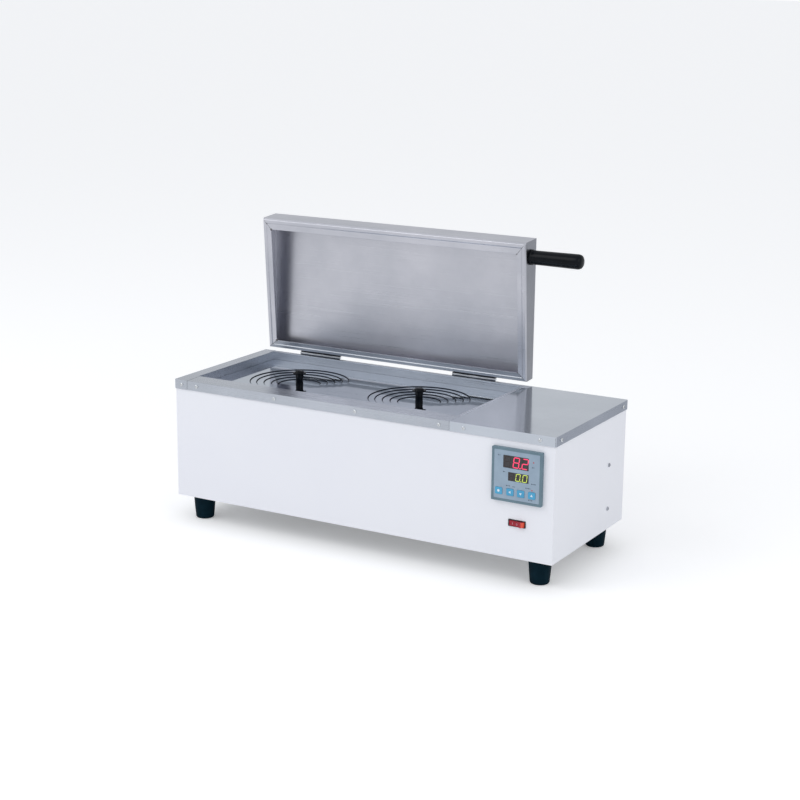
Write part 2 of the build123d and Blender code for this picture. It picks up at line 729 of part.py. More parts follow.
def ring_parts():
    """The ring plate and, for each side, four nested rings and a centre lid with its knob."""
    inset = plate_clearance
    plate = block(well_left + inset, well_right_x - inset, well_front + inset, well_rear - inset,
                  plate_under_z, plate_top_z)
    seat = seat_outline(ring_radii[0], plate_top_z)
    seat_wall = turned(*seat, (seat[-1][0], plate_top_z))
    nodes = {}
    lid_top = plate_top_z - ring_step * len(ring_radii)
    lid_under = lid_top - ring_sheet
    for side, x in ring_centres_x.items():
        centre = Pos(x, ring_centre_y, 0)
        plate -= centre * rod_z(0, 0, plate_under_z - past, plate_top_z + past, ring_radii[0] + ring_gap)
        plate += centre * seat_wall
        for number in range(1, len(ring_radii)):
            nodes[f"{side}_ring_{number}"] = centre * ring(number, plate_top_z - ring_step * number)
        cap = rod_z(0, 0, lid_under, lid_top, ring_radii[-1])
        cap -= rod_z(0, 0, lid_under - past, lid_top + past, knob_screw_radius + screw_clearance)
        nodes[f"{side}_centre_lid"] = centre * cap
        nodes[f"{side}_knob"] = centre * knob(lid_top)
        nodes[f"{side}_knob_screw"] = centre * knob_screw(lid_under)
    nodes["ring_plate"] = plate
    return nodes


# ---- lid, hinges and handle ------------------------------------------------------------------------------------
def opened(shape):
    """A piece of the lid, modelled shut, swung back about the hinge pins."""
    return shape.rotate(Axis((0, hinge_y, hinge_z), (1, 0, 0)), -lid_opening_deg)


def wedge(inset, bottom, x0, x1):
    """The lid's wedge section between x0 and x1, drawn in by inset, from bottom upwards."""
    slope = (lid_front_height - lid_rear_height) / lid_depth
    roof_rear = lid_rim_z + lid_rear_height - inset + slope * inset
    roof_front = lid_rim_z + lid_front_height - inset - slope * inset
    bevel = lid_bevel if inset == 0 else lid_bevel_inside
    near, back = lid_front_y + inset, lid_rear_y - inset
    outline = Polyline((x0, back, bottom), (x0, near + bevel, bottom), (x0, near, bottom + bevel),
                       (x0, near, roof_front), (x0, back, roof_rear), close=True)
    return extrude(make_face(outline), amount=x1 - x0, dir=(1, 0, 0))


def lid_handle_place():
    """The centre of the handle's root on the shut lid's right wall."""
    return lid_front_y + handle_from_front, lid_rim_z + handle_height


def rivet_places():
    """Where the rivets of the lid leaves go, as x and z on the shut lid's rear wall."""
    middles = [start + hinge_length / 2 for start in hinge_starts_x]
    height = hinge_z + rivet_height_on_leaf
    return [(middle + side * hinge_screw_spread, height) for middle in middles for side in (-1, 1)]


def lid_parts():
    """The folded lid shell, its handle and the stud that holds it."""
    shell = wedge(0, lid_rim_z, lid_left_x, lid_right_x)
    shell -= wedge(lid_sheet, lid_rim_z + lid_sheet, lid_left_x + lid_sheet, lid_right_x - lid_sheet)
    shell -= block(lid_left_x + lid_lip_side, lid_right_x - lid_lip_side, lid_front_y + lid_lip_front,
                   lid_rear_y - lid_lip_rear, lid_rim_z - past, lid_rim_z + 2 * lid_sheet)
    handle_y, handle_z = lid_handle_place()
    shell -= rod_x(lid_right_x - lid_sheet - past, lid_right_x + past, handle_y, handle_z,
                   stud_radius + stud_clearance)
    for x, z in rivet_places():
        shell -= rod_y(x, lid_rear_y - lid_sheet - past, lid_rear_y + past, z, rivet_radius)

    end = handle_length
    collar_radius = handle_root_radius + handle_collar_step
    grip = turned((0, 0), (collar_radius, 0), (collar_radius, handle_collar),
                  (handle_root_radius, handle_collar + handle_collar_step), (handle_tip_radius, end), (0, end))
    tip = grip.edges().filter_by(GeomType.CIRCLE).sort_by(Axis.Z)[-1]
    grip = fillet(tip, handle_end_round)
    grip -= rod_z(0, 0, -past, stud_depth_in_handle + past, stud_radius + stud_clearance)
    grip = Pos(lid_right_x, handle_y, handle_z) * Rot(0, 90, 0) * grip

    inner_x = lid_right_x - lid_sheet
    stud = rod_x(inner_x - stud_nut_height - stud_end, lid_right_x + stud_depth_in_handle, handle_y, handle_z,
                 stud_radius)
    nut = Pos(inner_x - stud_nut_height, handle_y, handle_z) * Rot(0, 90, 0)
    stud += nut * hexagon(stud_nut_radius, stud_nut_height)
    return {"lid_shell": opened(shell), "lid_handle": opened(grip), "handle_stud": opened(stud)}


def hinge_parts():
    """Two barrel hinges: leaves with alternating knuckles, pins, and the rivets on the lid."""
    pitch = hinge_length / hinge_knuckles
    half_gap = hinge_knuckle_gap / 2
    swept = hinge_barrel_radius + hinge_leaf_clearance
    lid_leaf_y = lid_rear_y
    fixed_leaves, lid_leaves, pins, rivets = [], [], [], []
    for start in hinge_starts_x:
        fixed = block(start, start + hinge_length, rim_depth, rim_depth + hinge_leaf,
                      casing_height - hinge_fixed_leaf_drop, hinge_z)
        moving = block(start, start + hinge_length, lid_leaf_y, lid_leaf_y + hinge_leaf, hinge_z,
                       hinge_z + hinge_lid_leaf_height)
        along = (start - past, start + hinge_length + past)
        fixed -= rod_x(*along, hinge_y, hinge_z, swept)
        moving -= rod_x(*along, hinge_y, hinge_z, swept)
        for index in range(hinge_knuckles):
            x0, x1 = start + index * pitch + half_gap, start + (index + 1) * pitch - half_gap
            knuckle = rod_x(x0, x1, hinge_y, hinge_z, hinge_barrel_radius)
            if index % 2 == 0:
                arm = block(x0, x1, rim_depth, rim_depth + hinge_leaf, hinge_z - swept - hinge_arm_overlap,
                            hinge_z)
                fixed += knuckle + arm
            else:
                arm = block(x0, x1, lid_leaf_y, lid_leaf_y + hinge_leaf, hinge_z,
                            hinge_z + swept + hinge_arm_overlap)
                moving += knuckle + arm
        bore = rod_x(*along, hinge_y, hinge_z, pin_hole_radius)
        fixed_leaves.append(fixed - bore)
        lid_leaves.append(moving - bore)
        pin = rod_x(start + half_gap, start + hinge_length - half_gap, hinge_y, hinge_z, hinge_pin_radius)
        for x in (start + half_gap - hinge_pin_head, start + hinge_length - half_gap):
            pin += rod_x(x, x + hinge_pin_head, hinge_y, hinge_z, hinge_pin_head_radius)
        pins.append(pin)
    fixed_leaves = group(fixed_leaves)
    for hole in shank_holes(hinge_screw_places()):
        fixed_leaves -= hole
    lid_leaves = group(lid_leaves)
    inside_y = lid_rear_y - lid_sheet
    outside_y = lid_leaf_y + hinge_leaf
    for x, z in rivet_places():
        lid_leaves -= rod_y(x, lid_leaf_y - past, outside_y + past, z, rivet_radius)
        rivet = rod_y(x, inside_y - rivet_head_height, inside_y, z, rivet_head_radius)
        rivet += rod_y(x, inside_y, outside_y, z, rivet_radius)
        rivet += rod_y(x, outside_y, outside_y + rivet_head_height, z, rivet_head_radius)
        rivets.append(rivet)
    return {
        "hinge_fixed_leaves": group([fixed_leaves]),
        "hinge_lid_leaves": opened(group([lid_leaves])),
        "hinge_pins": group(pins),
        "hinge_lid_rivets": opened(group(rivets)),
    }


# ---- thermostat ------------------------------------------------------------------------------------------------
def on_face(across, down):
    """A point of the thermostat's front, from its layout's distances to the bezel's left and top edges."""
    return controller_left_x + across * face_scale, controller_top_z - down * face_scale


def thermostat():
    """Bezel, housing, face plate, windows, display module and the four keys."""
    size = controller_size
    middle = (controller_x, controller_z)
    bezel = facing(size, size, controller_bezel_thickness, controller_corner, bezel_front_y, middle)
    recess = size - 2 * controller_border
    bezel -= facing(recess, recess, controller_face_depth, controller_face_corner, bezel_front_y, middle)
    face_size = recess - 2 * controller_face_gap
    face = facing(face_size, face_size, controller_face_sheet, controller_face_corner, face_front_y, middle)
    through_face = controller_face_sheet + 2 * past
    windows, displays, keys = [], [], {}
    for left, right, top, bottom in window_edges:
        place = on_face((left + right) / 2, (top + bottom) / 2)
        hole = ((right - left) * face_scale, (bottom - top) * face_scale)
        face -= facing(*hole, through_face, window_corner, face_front_y - past, place)
        bezel -= facing(*hole, display_depth, window_corner, face_rear_y, place)
        pane = [side - 2 * window_gap for side in hole]
        corner = window_corner - window_gap
        windows.append(facing(*pane, controller_face_sheet, corner, face_front_y, place))
        displays.append(facing(*pane, display_depth - window_gap, corner, face_rear_y, place))
    cap_size = (key_width * face_scale, key_height * face_scale)
    hole = [side + 2 * key_gap for side in cap_size]
    lip = [side + 2 * key_flange for side in cap_size]
    pocket = [side + 2 * key_gap for side in lip]
    cap_depth = key_proud + controller_face_sheet + key_flange_gap
    for name, across in zip(key_names, key_centres):
        place = on_face(across, key_drop)
        face -= facing(*hole, through_face, key_corner, face_front_y - past, place)
        bezel -= facing(*pocket, key_pocket_depth + controller_face_sheet, key_corner, face_front_y, place)
        cap = facing(*cap_size, cap_depth, key_corner, face_front_y - key_proud, place)
        cap = fillet(cap.edges().group_by(Axis.Y)[0], key_edge)
        cap += facing(*lip, key_flange_thickness, key_corner, face_rear_y + key_flange_gap, place)
        keys[name] = cap
    outside, wall = controller_housing_size, controller_housing_wall
    housing = facing(outside, outside, controller_housing_depth, controller_housing_corner, case_front, middle)
    inside = outside - 2 * wall
    housing -= facing(inside, inside, controller_housing_depth - wall + past, controller_face_corner,
                      case_front - past, middle)
    return {
        "controller_bezel": bezel,
        "controller_housing": housing,
        "controller_face": face,
        "display_windows": group(windows),
        "display_module": group(displays),
        **keys,
    }


# ---- rocker switch ---------------------------------------------------------------------------------------------
def rocker_body_size(extra=0.0):
    """Width and height of the switch body behind the panel, or of its cut-out with some extra all round."""
    grown = 2 * (rocker_wall + extra)
    return rocker_mouth_length + grown, rocker_height + 2 * rocker_gap + grown


def rocker_switch():
    """The switch frame with its body, and the rocker, whose ends are arcs about its two short trunnions."""
    x, z = rocker_centre_x, rocker_centre_z
    mouth = (rocker_mouth_length, rocker_height + 2 * rocker_gap)
    frame_size = [side + 2 * rocker_frame_border for side in mouth]
    front_y = case_front - rocker_frame_thickness
    frame = facing(*frame_size, rocker_frame_thickness, rocker_frame_border, front_y, (x, z))
    frame += facing(*rocker_body_size(), rocker_body_depth, rocker_body_corner, case_front - rocker_body_overlap,
                    (x, z))
    frame -= facing(*mouth, rocker_frame_thickness + rocker_cavity_depth + past, rocker_gap, front_y - past, (x, z))
    pivot_reach = rocker_height / 2 + rocker_gap + rocker_wall / 2
    frame -= rod_z(x, rocker_pivot_y, z - pivot_reach, z + pivot_reach, rocker_pin_radius + rocker_pin_clearance)

    arc = rocker_mouth_length / 2 - rocker_gap
    lift = math.radians(rocker_end_angle_deg)
    sink = math.asin(rocker_back_depth / arc)
    right = [(arc * math.cos(turn), -arc * math.sin(turn)) for turn in (lift, (lift - sink) / 2, -sink)]
    left = [(-across, depth) for across, depth in right]
    side = Polyline(left[0], (0, -rocker_middle_rise), right[0]) + ThreePointArc(*right)
    back_y = rocker_back_depth + rocker_back_drop
    side += Polyline(right[-1], (rocker_back_half, back_y), (-rocker_back_half, back_y), left[-1])
    side += ThreePointArc(*left[::-1])
    paddle = Pos(x, rocker_pivot_y, z - rocker_height / 2) * Rot(0, 0, -rocker_swing_deg / 2) * extrude(
        make_face(side), rocker_height)
    trunnion = pivot_reach - rocker_pin_end_gap
    paddle += rod_z(x, rocker_pivot_y, z - trunnion, z + trunnion, rocker_pin_radius)
    return {"rocker_frame": frame, "rocker": paddle}


# ---- rear fittings ---------------------------------------------------------------------------------------------
def rear_fittings():
    """Mains inlet with its blades, fuse holder, drain pipe and drain tap."""
    rear = case_rear
    width, height, thickness = inlet_flange
    body_w, body_h, body_d = inlet_body
    socket_w, socket_h, socket_d = inlet_socket
    inlet = facing(width, height, thickness, inlet_flange_corner, rear, (inlet_x, inlet_z))
    inlet += block(inlet_x - body_w / 2, inlet_x + body_w / 2, rear + thickness - body_d, rear,
                   inlet_z - body_h / 2, inlet_z + body_h / 2)
    outer_face = rear + thickness
    inlet -= block(inlet_x - socket_w / 2, inlet_x + socket_w / 2, outer_face - socket_d, outer_face + past,
                   inlet_z - socket_h / 2, inlet_z + socket_h / 2)
    for side in (-1, 1):
        inlet -= rod_y(inlet_x + side * (width / 2 - inlet_ear_inset), rear - past, outer_face + past, inlet_z,
                       inlet_ear_radius)
    pin_w, pin_h, pin_l = inlet_pin
    pins = []
    for side in (-1, 0, 1):
        px, pz = inlet_x + side * inlet_pin_spread, inlet_z + (-inlet_pin_shift if side else inlet_pin_shift)
        pins.append(block(px - pin_w / 2, px + pin_w / 2, outer_face - socket_d, outer_face - socket_d + pin_l,
                          pz - pin_h / 2, pz + pin_h / 2))

    fuse = rod_y(inlet_x, rear - fuse_body_depth, rear, fuse_z, fuse_body_radius)
    fuse += rod_y(inlet_x, rear, rear + fuse_cap_height, fuse_z, fuse_cap_radius)
    slot_l, slot_w, slot_d = fuse_slot
    cap_face = rear + fuse_cap_height
    fuse -= block(inlet_x - slot_l / 2, inlet_x + slot_l / 2, cap_face - slot_d, cap_face + past,
                  fuse_z - slot_w / 2, fuse_z + slot_w / 2)

    pipe_end = tap_start_y + tap_thread_depth
    pipe = rod_y(drain_x, well_rear - drain_flange_thickness, well_rear, drain_z, drain_flange_radius)
    pipe += rod_y(drain_x, well_rear, pipe_end, drain_z, drain_pipe_radius)
    pipe -= rod_y(drain_x, well_rear - drain_flange_thickness - past, pipe_end + past, drain_z, drain_bore_radius)
    nut = Pos(drain_x, well_rear + tank_sheet, drain_z) * Rot(-90, 0, 0)
    nut = nut * hexagon(drain_flange_radius, drain_nut_thickness)
    nut -= rod_y(drain_x, well_rear, rim_depth, drain_z, drain_pipe_radius + bushing_clearance)

    tap_end = tap_start_y + tap_body_length
    tap = rod_y(drain_x, tap_start_y, tap_end, drain_z, tap_body_radius)
    tap += rod_y(drain_x, tap_end, tap_end + tap_spigot_length, drain_z, tap_spigot_radius)
    tap_mid = tap_start_y + tap_stem_from_start
    neck_top = drain_z + tap_neck_height
    tap += rod_z(drain_x, tap_mid, drain_z, neck_top, tap_neck_radius)
    tap -= rod_y(drain_x, tap_start_y - past, pipe_end + tap_thread_gap, drain_z,
                 drain_pipe_radius + bushing_clearance)
    tap -= rod_y(drain_x, tap_end + tap_seat, tap_end + tap_spigot_length + past, drain_z, tap_bore_radius)
    tap -= rod_z(drain_x, tap_mid, neck_top - tap_stem_height, neck_top + past,
                 tap_stem_radius + tap_stem_clearance)

    lever_z = neck_top + tap_lever_gap
    lever = rod_z(drain_x, tap_mid, neck_top - tap_stem_height + tap_lever_gap, lever_z, tap_stem_radius)
    bar = block(drain_x, drain_x + tap_lever_length, tap_mid - tap_lever_width / 2, tap_mid + tap_lever_width / 2,
                lever_z, lever_z + tap_lever_thickness)
    bar = fillet(bar.edges().filter_by(Axis.Z).group_by(Axis.X)[-1], tap_lever_round)
    lever += bar + rod_z(drain_x, tap_mid, lever_z, lever_z + tap_lever_thickness, tap_hub_radius)
    return {
        "mains_inlet": inlet,
        "inlet_pins": group(pins),
        "fuse_holder": fuse,
        "drain_pipe": group([pipe, nut]),
        "drain_tap": tap,
        "drain_tap_lever": lever,
    }


# ---- control compartment ---------------------------------------------------------------------------------------
def electrics():
    """The relay on its bracket behind the right wall, and the terminal block on the base plate."""
    wall_x = case_right - case_sheet
    plate_x = wall_x - bracket_sheet
    y0, y1 = side_screws_y - bracket_width / 2, side_screws_y + bracket_width / 2
    z0, z1 = side_screws_z[0] - bracket_margin, side_screws_z[1] + bracket_margin
    bracket = block(plate_x, wall_x, y0, y1, z0, z1)
    bracket += block(plate_x - bracket_width / 2, plate_x, y0, y1, z1 - bracket_sheet, z1)
    for hole in shank_holes(side_screw_places()):
        bracket -= hole
    depth, width, height = relay_size
    middle_z = (side_screws_z[0] + side_screws_z[1]) / 2
    relay = block(plate_x - depth, plate_x, side_screws_y - width / 2, side_screws_y + width / 2,
                  middle_z - height / 2, middle_z + height / 2)
    for z in side_screws_z:
        relay -= rod_x(plate_x - screw_length, plate_x + past, side_screws_y, z, screw_radius + screw_clearance)
    length, breadth, tall = terminal_block_size
    x, y = bulkhead_x + terminal_from_bulkhead, rim_depth - terminal_from_rear - breadth
    terminals = block(x, x + length, y, y + breadth, base_sheet, base_sheet + tall)
    pitch = length / terminal_ways
    for index in range(terminal_ways):
        for row_y in (y + terminal_row_inset, y + breadth - terminal_row_inset):
            terminals -= rod_z(x + (index + 0.5) * pitch, row_y, base_sheet + tall - terminal_well_depth,
                               base_sheet + tall + past, terminal_well_radius)
    return {"relay_bracket": bracket, "relay": relay, "terminal_block": terminals}


def main():
    """Builds every node, moves them to the origin and writes one file for each."""
    nodes = {}
    for make in (top_frame, casing, feet, tank_parts, bath_fittings, ring_parts, lid_parts, hinge_parts,
                 thermostat, rocker_switch, rear_fittings, electrics):
        nodes.update(make())
    boxes = [node.bounding_box() for node in nodes.values()]
    box = boxes[0]
    for other in boxes[1:]:
        box = box.add(other)
    shift = Vector(-(box.min.X + box.max.X) / 2, -(box.min.Y + box.max.Y) / 2, -box.min.Z)
    home = Location(shift)
    os.makedirs("parts", exist_ok=True)
    for name, node in nodes.items():
        export_step(home * node, f"parts/{name}.step")
    print("nodes", len(nodes), "shift", tuple(round(value, 4) for value in shift), "size", box.size)


main()
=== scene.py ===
"""Looks of a laboratory water bath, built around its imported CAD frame.

Each sub-assembly is a class that builds its own meshes and dresses them in finishes. Lengths are in millimetres
in the casing's frame (x = 0 at the left end of the steel rim, y = 0 at its front edge, z = 0 at the underside
of the casing) and become metres of the row frame in CasingFrame.
"""

import json
import logging
import math
from collections.abc import Callable
from dataclasses import dataclass, field
from enum import Enum

import bmesh
import bpy
from mathutils import Matrix, Vector
from mathutils.bvhtree import BVHTree


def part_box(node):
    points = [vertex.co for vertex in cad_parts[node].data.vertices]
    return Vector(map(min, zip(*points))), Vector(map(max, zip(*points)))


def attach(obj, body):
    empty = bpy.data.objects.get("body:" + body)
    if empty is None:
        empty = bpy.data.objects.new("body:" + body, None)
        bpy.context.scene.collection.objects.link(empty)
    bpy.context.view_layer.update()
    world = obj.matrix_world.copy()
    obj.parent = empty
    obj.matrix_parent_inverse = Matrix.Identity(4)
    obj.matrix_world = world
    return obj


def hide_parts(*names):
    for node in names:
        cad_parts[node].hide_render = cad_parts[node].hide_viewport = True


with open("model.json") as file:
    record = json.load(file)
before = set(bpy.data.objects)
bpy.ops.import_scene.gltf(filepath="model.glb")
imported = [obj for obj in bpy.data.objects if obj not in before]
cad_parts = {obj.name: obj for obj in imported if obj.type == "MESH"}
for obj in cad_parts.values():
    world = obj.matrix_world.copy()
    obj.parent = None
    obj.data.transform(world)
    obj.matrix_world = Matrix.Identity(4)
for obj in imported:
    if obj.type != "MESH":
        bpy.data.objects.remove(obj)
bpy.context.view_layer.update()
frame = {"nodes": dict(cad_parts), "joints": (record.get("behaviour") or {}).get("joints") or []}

LOG = logging.getLogger("water_bath")
MM = 0.001
ON_AXIS = 1e-6
NOISE_LOW, NOISE_HIGH = 0.3, 0.7
Point = tuple[float, float]
Colour = tuple[float, float, float]


# ---- frame and mesh tools --------------------------------------------------------------------------------------
class CasingFrame:
    """Where the casing's own frame lies in the row frame."""

    ORIGIN = Vector((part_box("left_rail")[0].x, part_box("left_rail")[0].y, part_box("casing_wrap")[0].z))

    @classmethod
    def at(cls, x: float, y: float, z: float) -> Vector:
        """A point of the casing's frame.

        Args:
            x, y, z: millimetres in the casing's frame.

        Returns:
            The point in metres in the row frame.
        """
        return cls.ORIGIN + Vector((x, y, z)) * MM

    @classmethod
    def move(cls, x: float, y: float, z: float) -> Matrix:
        """The matrix that takes metres about the origin to a point of the casing's frame."""
        return Matrix.Translation(cls.at(x, y, z))


def softened(points: list[Point], radius: float, steps: int = 4) -> list[Point]:
    """Rounds the inner corners of an open outline.

    Args:
        points: the outline's corners.
        radius: the largest rounding; short sides get less.
        steps: points on each rounding.

    Returns:
        The outline with a quadratic curve at each inner corner.
    """
    out = [points[0]]
    for before, here, after in zip(points, points[1:], points[2:]):
        a, b, c = (Vector(p) for p in (before, here, after))
        reach = min(radius, (a - b).length * 0.45, (c - b).length * 0.45)
        start, end = b + (a - b).normalized() * reach, b + (c - b).normalized() * reach
        for step in range(steps + 1):
            t = step / steps
            p = start * (1 - t) ** 2 + b * 2 * t * (1 - t) + end * t ** 2
            out.append((p.x, p.y))
    return out + [points[-1]]


def rounded_outline(width: float, height: float, radius: float, steps: int = 5) -> list[Point]:
    """The closed outline of a rectangle with round corners, centred on the origin."""
    out = []
    for quarter, (sx, sy) in enumerate(((1, 1), (-1, 1), (-1, -1), (1, -1))):
        cx, cy = sx * (width / 2 - radius), sy * (height / 2 - radius)
        for step in range(steps + 1):
            angle = math.pi / 2 * (quarter + step / steps)
            out.append((cx + radius * math.cos(angle), cy + radius * math.sin(angle)))
    return out


class MeshMaker:
    """Builds bmesh solids in metres."""

    @staticmethod
    def turned(profile: list[Point], segments: int = 96) -> bmesh.types.BMesh:
        """A solid of revolution about Z.

        Args:
            profile: radius and height in millimetres, from axis to axis or as a closed loop off the axis.
            segments: sides round the axis.

        Returns:
            The closed mesh.
        """
        bm = bmesh.new()
        closed = profile[0][0] > ON_AXIS and profile[-1][0] > ON_AXIS
        rings = []
        for radius, height in profile:
            if radius < ON_AXIS:
                rings.append([bm.verts.new((0, 0, height * MM))])
                continue
            turn = [2 * math.pi * k / segments for k in range(segments)]
            rings.append([bm.verts.new((radius * MM * math.cos(a), radius * MM * math.sin(a), height * MM))
                          for a in turn])
        pairs = list(zip(rings, rings[1:]))
        if closed:
            pairs.append((rings[-1], rings[0]))
        for low, high in pairs:
            for k in range(segments):
                n = (k + 1) % segments
                if len(low) == 1 and len(high) == 1:
                    continue
                if len(low) == 1:
                    bm.faces.new((low[0], high[n], high[k]))
                elif len(high) == 1:
                    bm.faces.new((low[k], low[n], high[0]))
                else:
                    bm.faces.new((low[k], low[n], high[n], high[k]))
        bmesh.ops.recalc_face_normals(bm, faces=bm.faces)
        return bm

    @staticmethod
    def slab(outline: list[Point], z0: float, z1: float, edge: float = 0.0) -> bmesh.types.BMesh:
        """A plate with this closed outline between two heights, its upper edge softened.

        Args:
            outline: corners in millimetres, anticlockwise.
            z0: lower height in millimetres.
            z1: upper height in millimetres.
            edge: width of the soft upper edge in millimetres.

        Returns:
            The closed mesh, standing on the XY plane's direction.
        """
        bm = bmesh.new()
        base = [bm.verts.new((x * MM, y * MM, z0 * MM)) for x, y in outline]
        face = bm.faces.new(base)
        top = bmesh.ops.extrude_face_region(bm, geom=[face])
        lifted = [g for g in top["geom"] if isinstance(g, bmesh.types.BMVert)]
        bmesh.ops.translate(bm, verts=lifted, vec=(0, 0, (z1 - z0) * MM))
        bmesh.ops.recalc_face_normals(bm, faces=bm.faces)
        if edge:
            rim = [e for e in bm.edges if all(v in lifted for v in e.verts) and len(e.link_faces) == 2]
            bmesh.ops.bevel(bm, geom=rim, offset=edge * MM, segments=3, affect="EDGES", profile=0.6)
        return bm

    @staticmethod
    def from_node(node: str, bevel: float, angle: float = 35.0) -> bmesh.types.BMesh:
        """A finer copy of a CAD node: flat faces joined and sharp edges broken.

        Args:
            node: the CAD node.
            bevel: width of the broken edges in millimetres; 0 leaves them sharp.
            angle: edges sharper than this many degrees are broken.

        Returns:
            The mesh, in its place.
        """
        bm = bmesh.new()
        bm.from_mesh(frame["nodes"][node].data)
        bmesh.ops.remove_doubles(bm, verts=bm.verts, dist=1e-6)
        bmesh.ops.dissolve_limit(bm, angle_limit=math.radians(0.6), verts=bm.verts, edges=bm.edges)
        if bevel:
            sharp = [e for e in bm.edges if e.is_manifold and e.calc_face_angle(0) > math.radians(angle)
                     and e.calc_length() > 2.5 * bevel * MM]
            bmesh.ops.bevel(bm, geom=sharp, offset=bevel * MM, segments=2, affect="EDGES", profile=0.6,
                            clamp_overlap=True)
        return bm

    @staticmethod
    def joined(parts: list[bmesh.types.BMesh]) -> bmesh.types.BMesh:
        """Several meshes as one."""
        whole = bmesh.new()
        for part in parts:
            data = bpy.data.meshes.new("part")
            part.to_mesh(data)
            part.free()
            whole.from_mesh(data)
            bpy.data.meshes.remove(data)
        return whole


# ---- finishes --------------------------------------------------------------------------------------------------
class Shader:
    """A material with a Principled shader and short ways to add nodes to it."""

    def __init__(self, name: str) -> None:
        """Starts an empty material of this name."""
        self.material = bpy.data.materials.new(name)
        self.material.use_nodes = True
        self.tree = self.material.node_tree
        self.principled = self.tree.nodes["Principled BSDF"]
        self.coordinates = self.tree.nodes.new("ShaderNodeTexCoord").outputs["Object"]

    def fix(self, **values: float | tuple) -> None:
        """Sets constant inputs of the shader, named with underscores for spaces."""
        for name, value in values.items():
            self.principled.inputs[name.replace("_", " ")].default_value = value

    def noise(self, stretch: tuple[float, float, float], detail: float = 3.0,
              rough: float = 0.55) -> bpy.types.NodeSocket:
        """Noise over the object's own coordinates.

        Args:
            stretch: features per metre along X, Y and Z.
            detail: octaves.
            rough: weight of the finer octaves.

        Returns:
            The noise value's socket.
        """
        mapping = self.tree.nodes.new("ShaderNodeMapping")
        mapping.inputs["Scale"].default_value = stretch
        texture = self.tree.nodes.new("ShaderNodeTexNoise")
        texture.inputs["Scale"].default_value = 1.0
        texture.inputs["Detail"].default_value = detail
        texture.inputs["Roughness"].default_value = rough
        self.tree.links.new(self.coordinates, mapping.inputs["Vector"])
        self.tree.links.new(mapping.outputs["Vector"], texture.inputs["Vector"])
        return texture.outputs["Fac"]

    def spread(self, value: bpy.types.NodeSocket, low: float, high: float) -> bpy.types.NodeSocket:
        """Maps the middle of a noise value to a range, and returns the socket."""
        node = self.tree.nodes.new("ShaderNodeMapRange")
        node.inputs["From Min"].default_value = NOISE_LOW
        node.inputs["From Max"].default_value = NOISE_HIGH
        node.inputs["To Min"].default_value = low
        node.inputs["To Max"].default_value = high
        self.tree.links.new(value, node.inputs["Value"])
        return node.outputs["Result"]

    def tint(self, value: bpy.types.NodeSocket, low: Colour, high: Colour) -> None:
        """Drives the base colour between two colours by a noise value."""
        ramp = self.tree.nodes.new("ShaderNodeValToRGB")
        for element, place, colour in zip(ramp.color_ramp.elements, (NOISE_LOW, NOISE_HIGH), (low, high)):
            element.position = place
            element.color = (*colour, 1)
        self.tree.links.new(value, ramp.inputs["Fac"])
        self.tree.links.new(ramp.outputs["Color"], self.principled.inputs["Base Color"])

    def roughen(self, value: bpy.types.NodeSocket, low: float, high: float) -> None:
        """Drives the roughness between two values by a noise value."""
        self.tree.links.new(self.spread(value, low, high), self.principled.inputs["Roughness"])

    def bump(self, value: bpy.types.NodeSocket, depth: float, strength: float = 0.5) -> None:
        """Raises the surface by a noise value, depth in millimetres."""
        node = self.tree.nodes.new("ShaderNodeBump")
        node.inputs["Strength"].default_value = strength
        node.inputs["Distance"].default_value = depth * MM
        self.tree.links.new(value, node.inputs["Height"])
        self.tree.links.new(node.outputs["Normal"], self.principled.inputs["Normal"])


class Grain(Enum):
    """Which way a sheet's brushing runs."""

    ALONG_X = (5.0, 900.0, 900.0)
    ALONG_Y = (900.0, 5.0, 900.0)
    ALONG_Z = (900.0, 900.0, 5.0)
    TURNED = (700.0, 700.0, 700.0)


@dataclass(frozen=True)
class Finish:
    """A surface finish; each kind says how its material is made."""

    name: str

    def material(self) -> bpy.types.Material:
        """The material, made once."""
        name = f"{self.name}_finish"
        return bpy.data.materials.get(name) or self.make(Shader(name))

    def make(self, shader: Shader) -> bpy.types.Material:
        """Builds the material's nodes."""
        raise NotImplementedError


@dataclass(frozen=True)
class SteelSheet(Finish):
    """Stainless sheet with a fine brushed grain and faint handling clouds."""

    light: Colour = (0.60, 0.63, 0.69)
    dark: Colour = (0.50, 0.53, 0.59)
    smooth: float = 0.16
    dull: float = 0.30
    grain: Grain = Grain.ALONG_X
    scratch: float = 0.02

    def make(self, shader: Shader) -> bpy.types.Material:
        """Metal with stretched grain in roughness and bump, and slow colour clouds."""
        shader.fix(Metallic=1.0)
        shader.tint(shader.noise((9, 9, 9), 4, 0.6), self.dark, self.light)
        grain = shader.noise(self.grain.value, 4, 0.6)
        shader.roughen(grain, self.smooth, self.dull)
        shader.bump(grain, self.scratch)
        return shader.material


@dataclass(frozen=True)
class Enamel(Finish):
    """Baked enamel with a very light orange peel."""

    colour: Colour = (0.89, 0.90, 0.95)
    shade: Colour = (0.87, 0.88, 0.94)

    def make(self, shader: Shader) -> bpy.types.Material:
        """Coated paint with a fine bump."""
        shader.fix(Metallic=0.0, Coat_Weight=0.35, Coat_Roughness=0.18)
        shader.tint(shader.noise((4, 4, 4), 3), self.shade, self.colour)
        peel = shader.noise((420, 420, 420), 2)
        shader.roughen(peel, 0.38, 0.46)
        shader.bump(peel, 0.03, 0.25)
        return shader.material


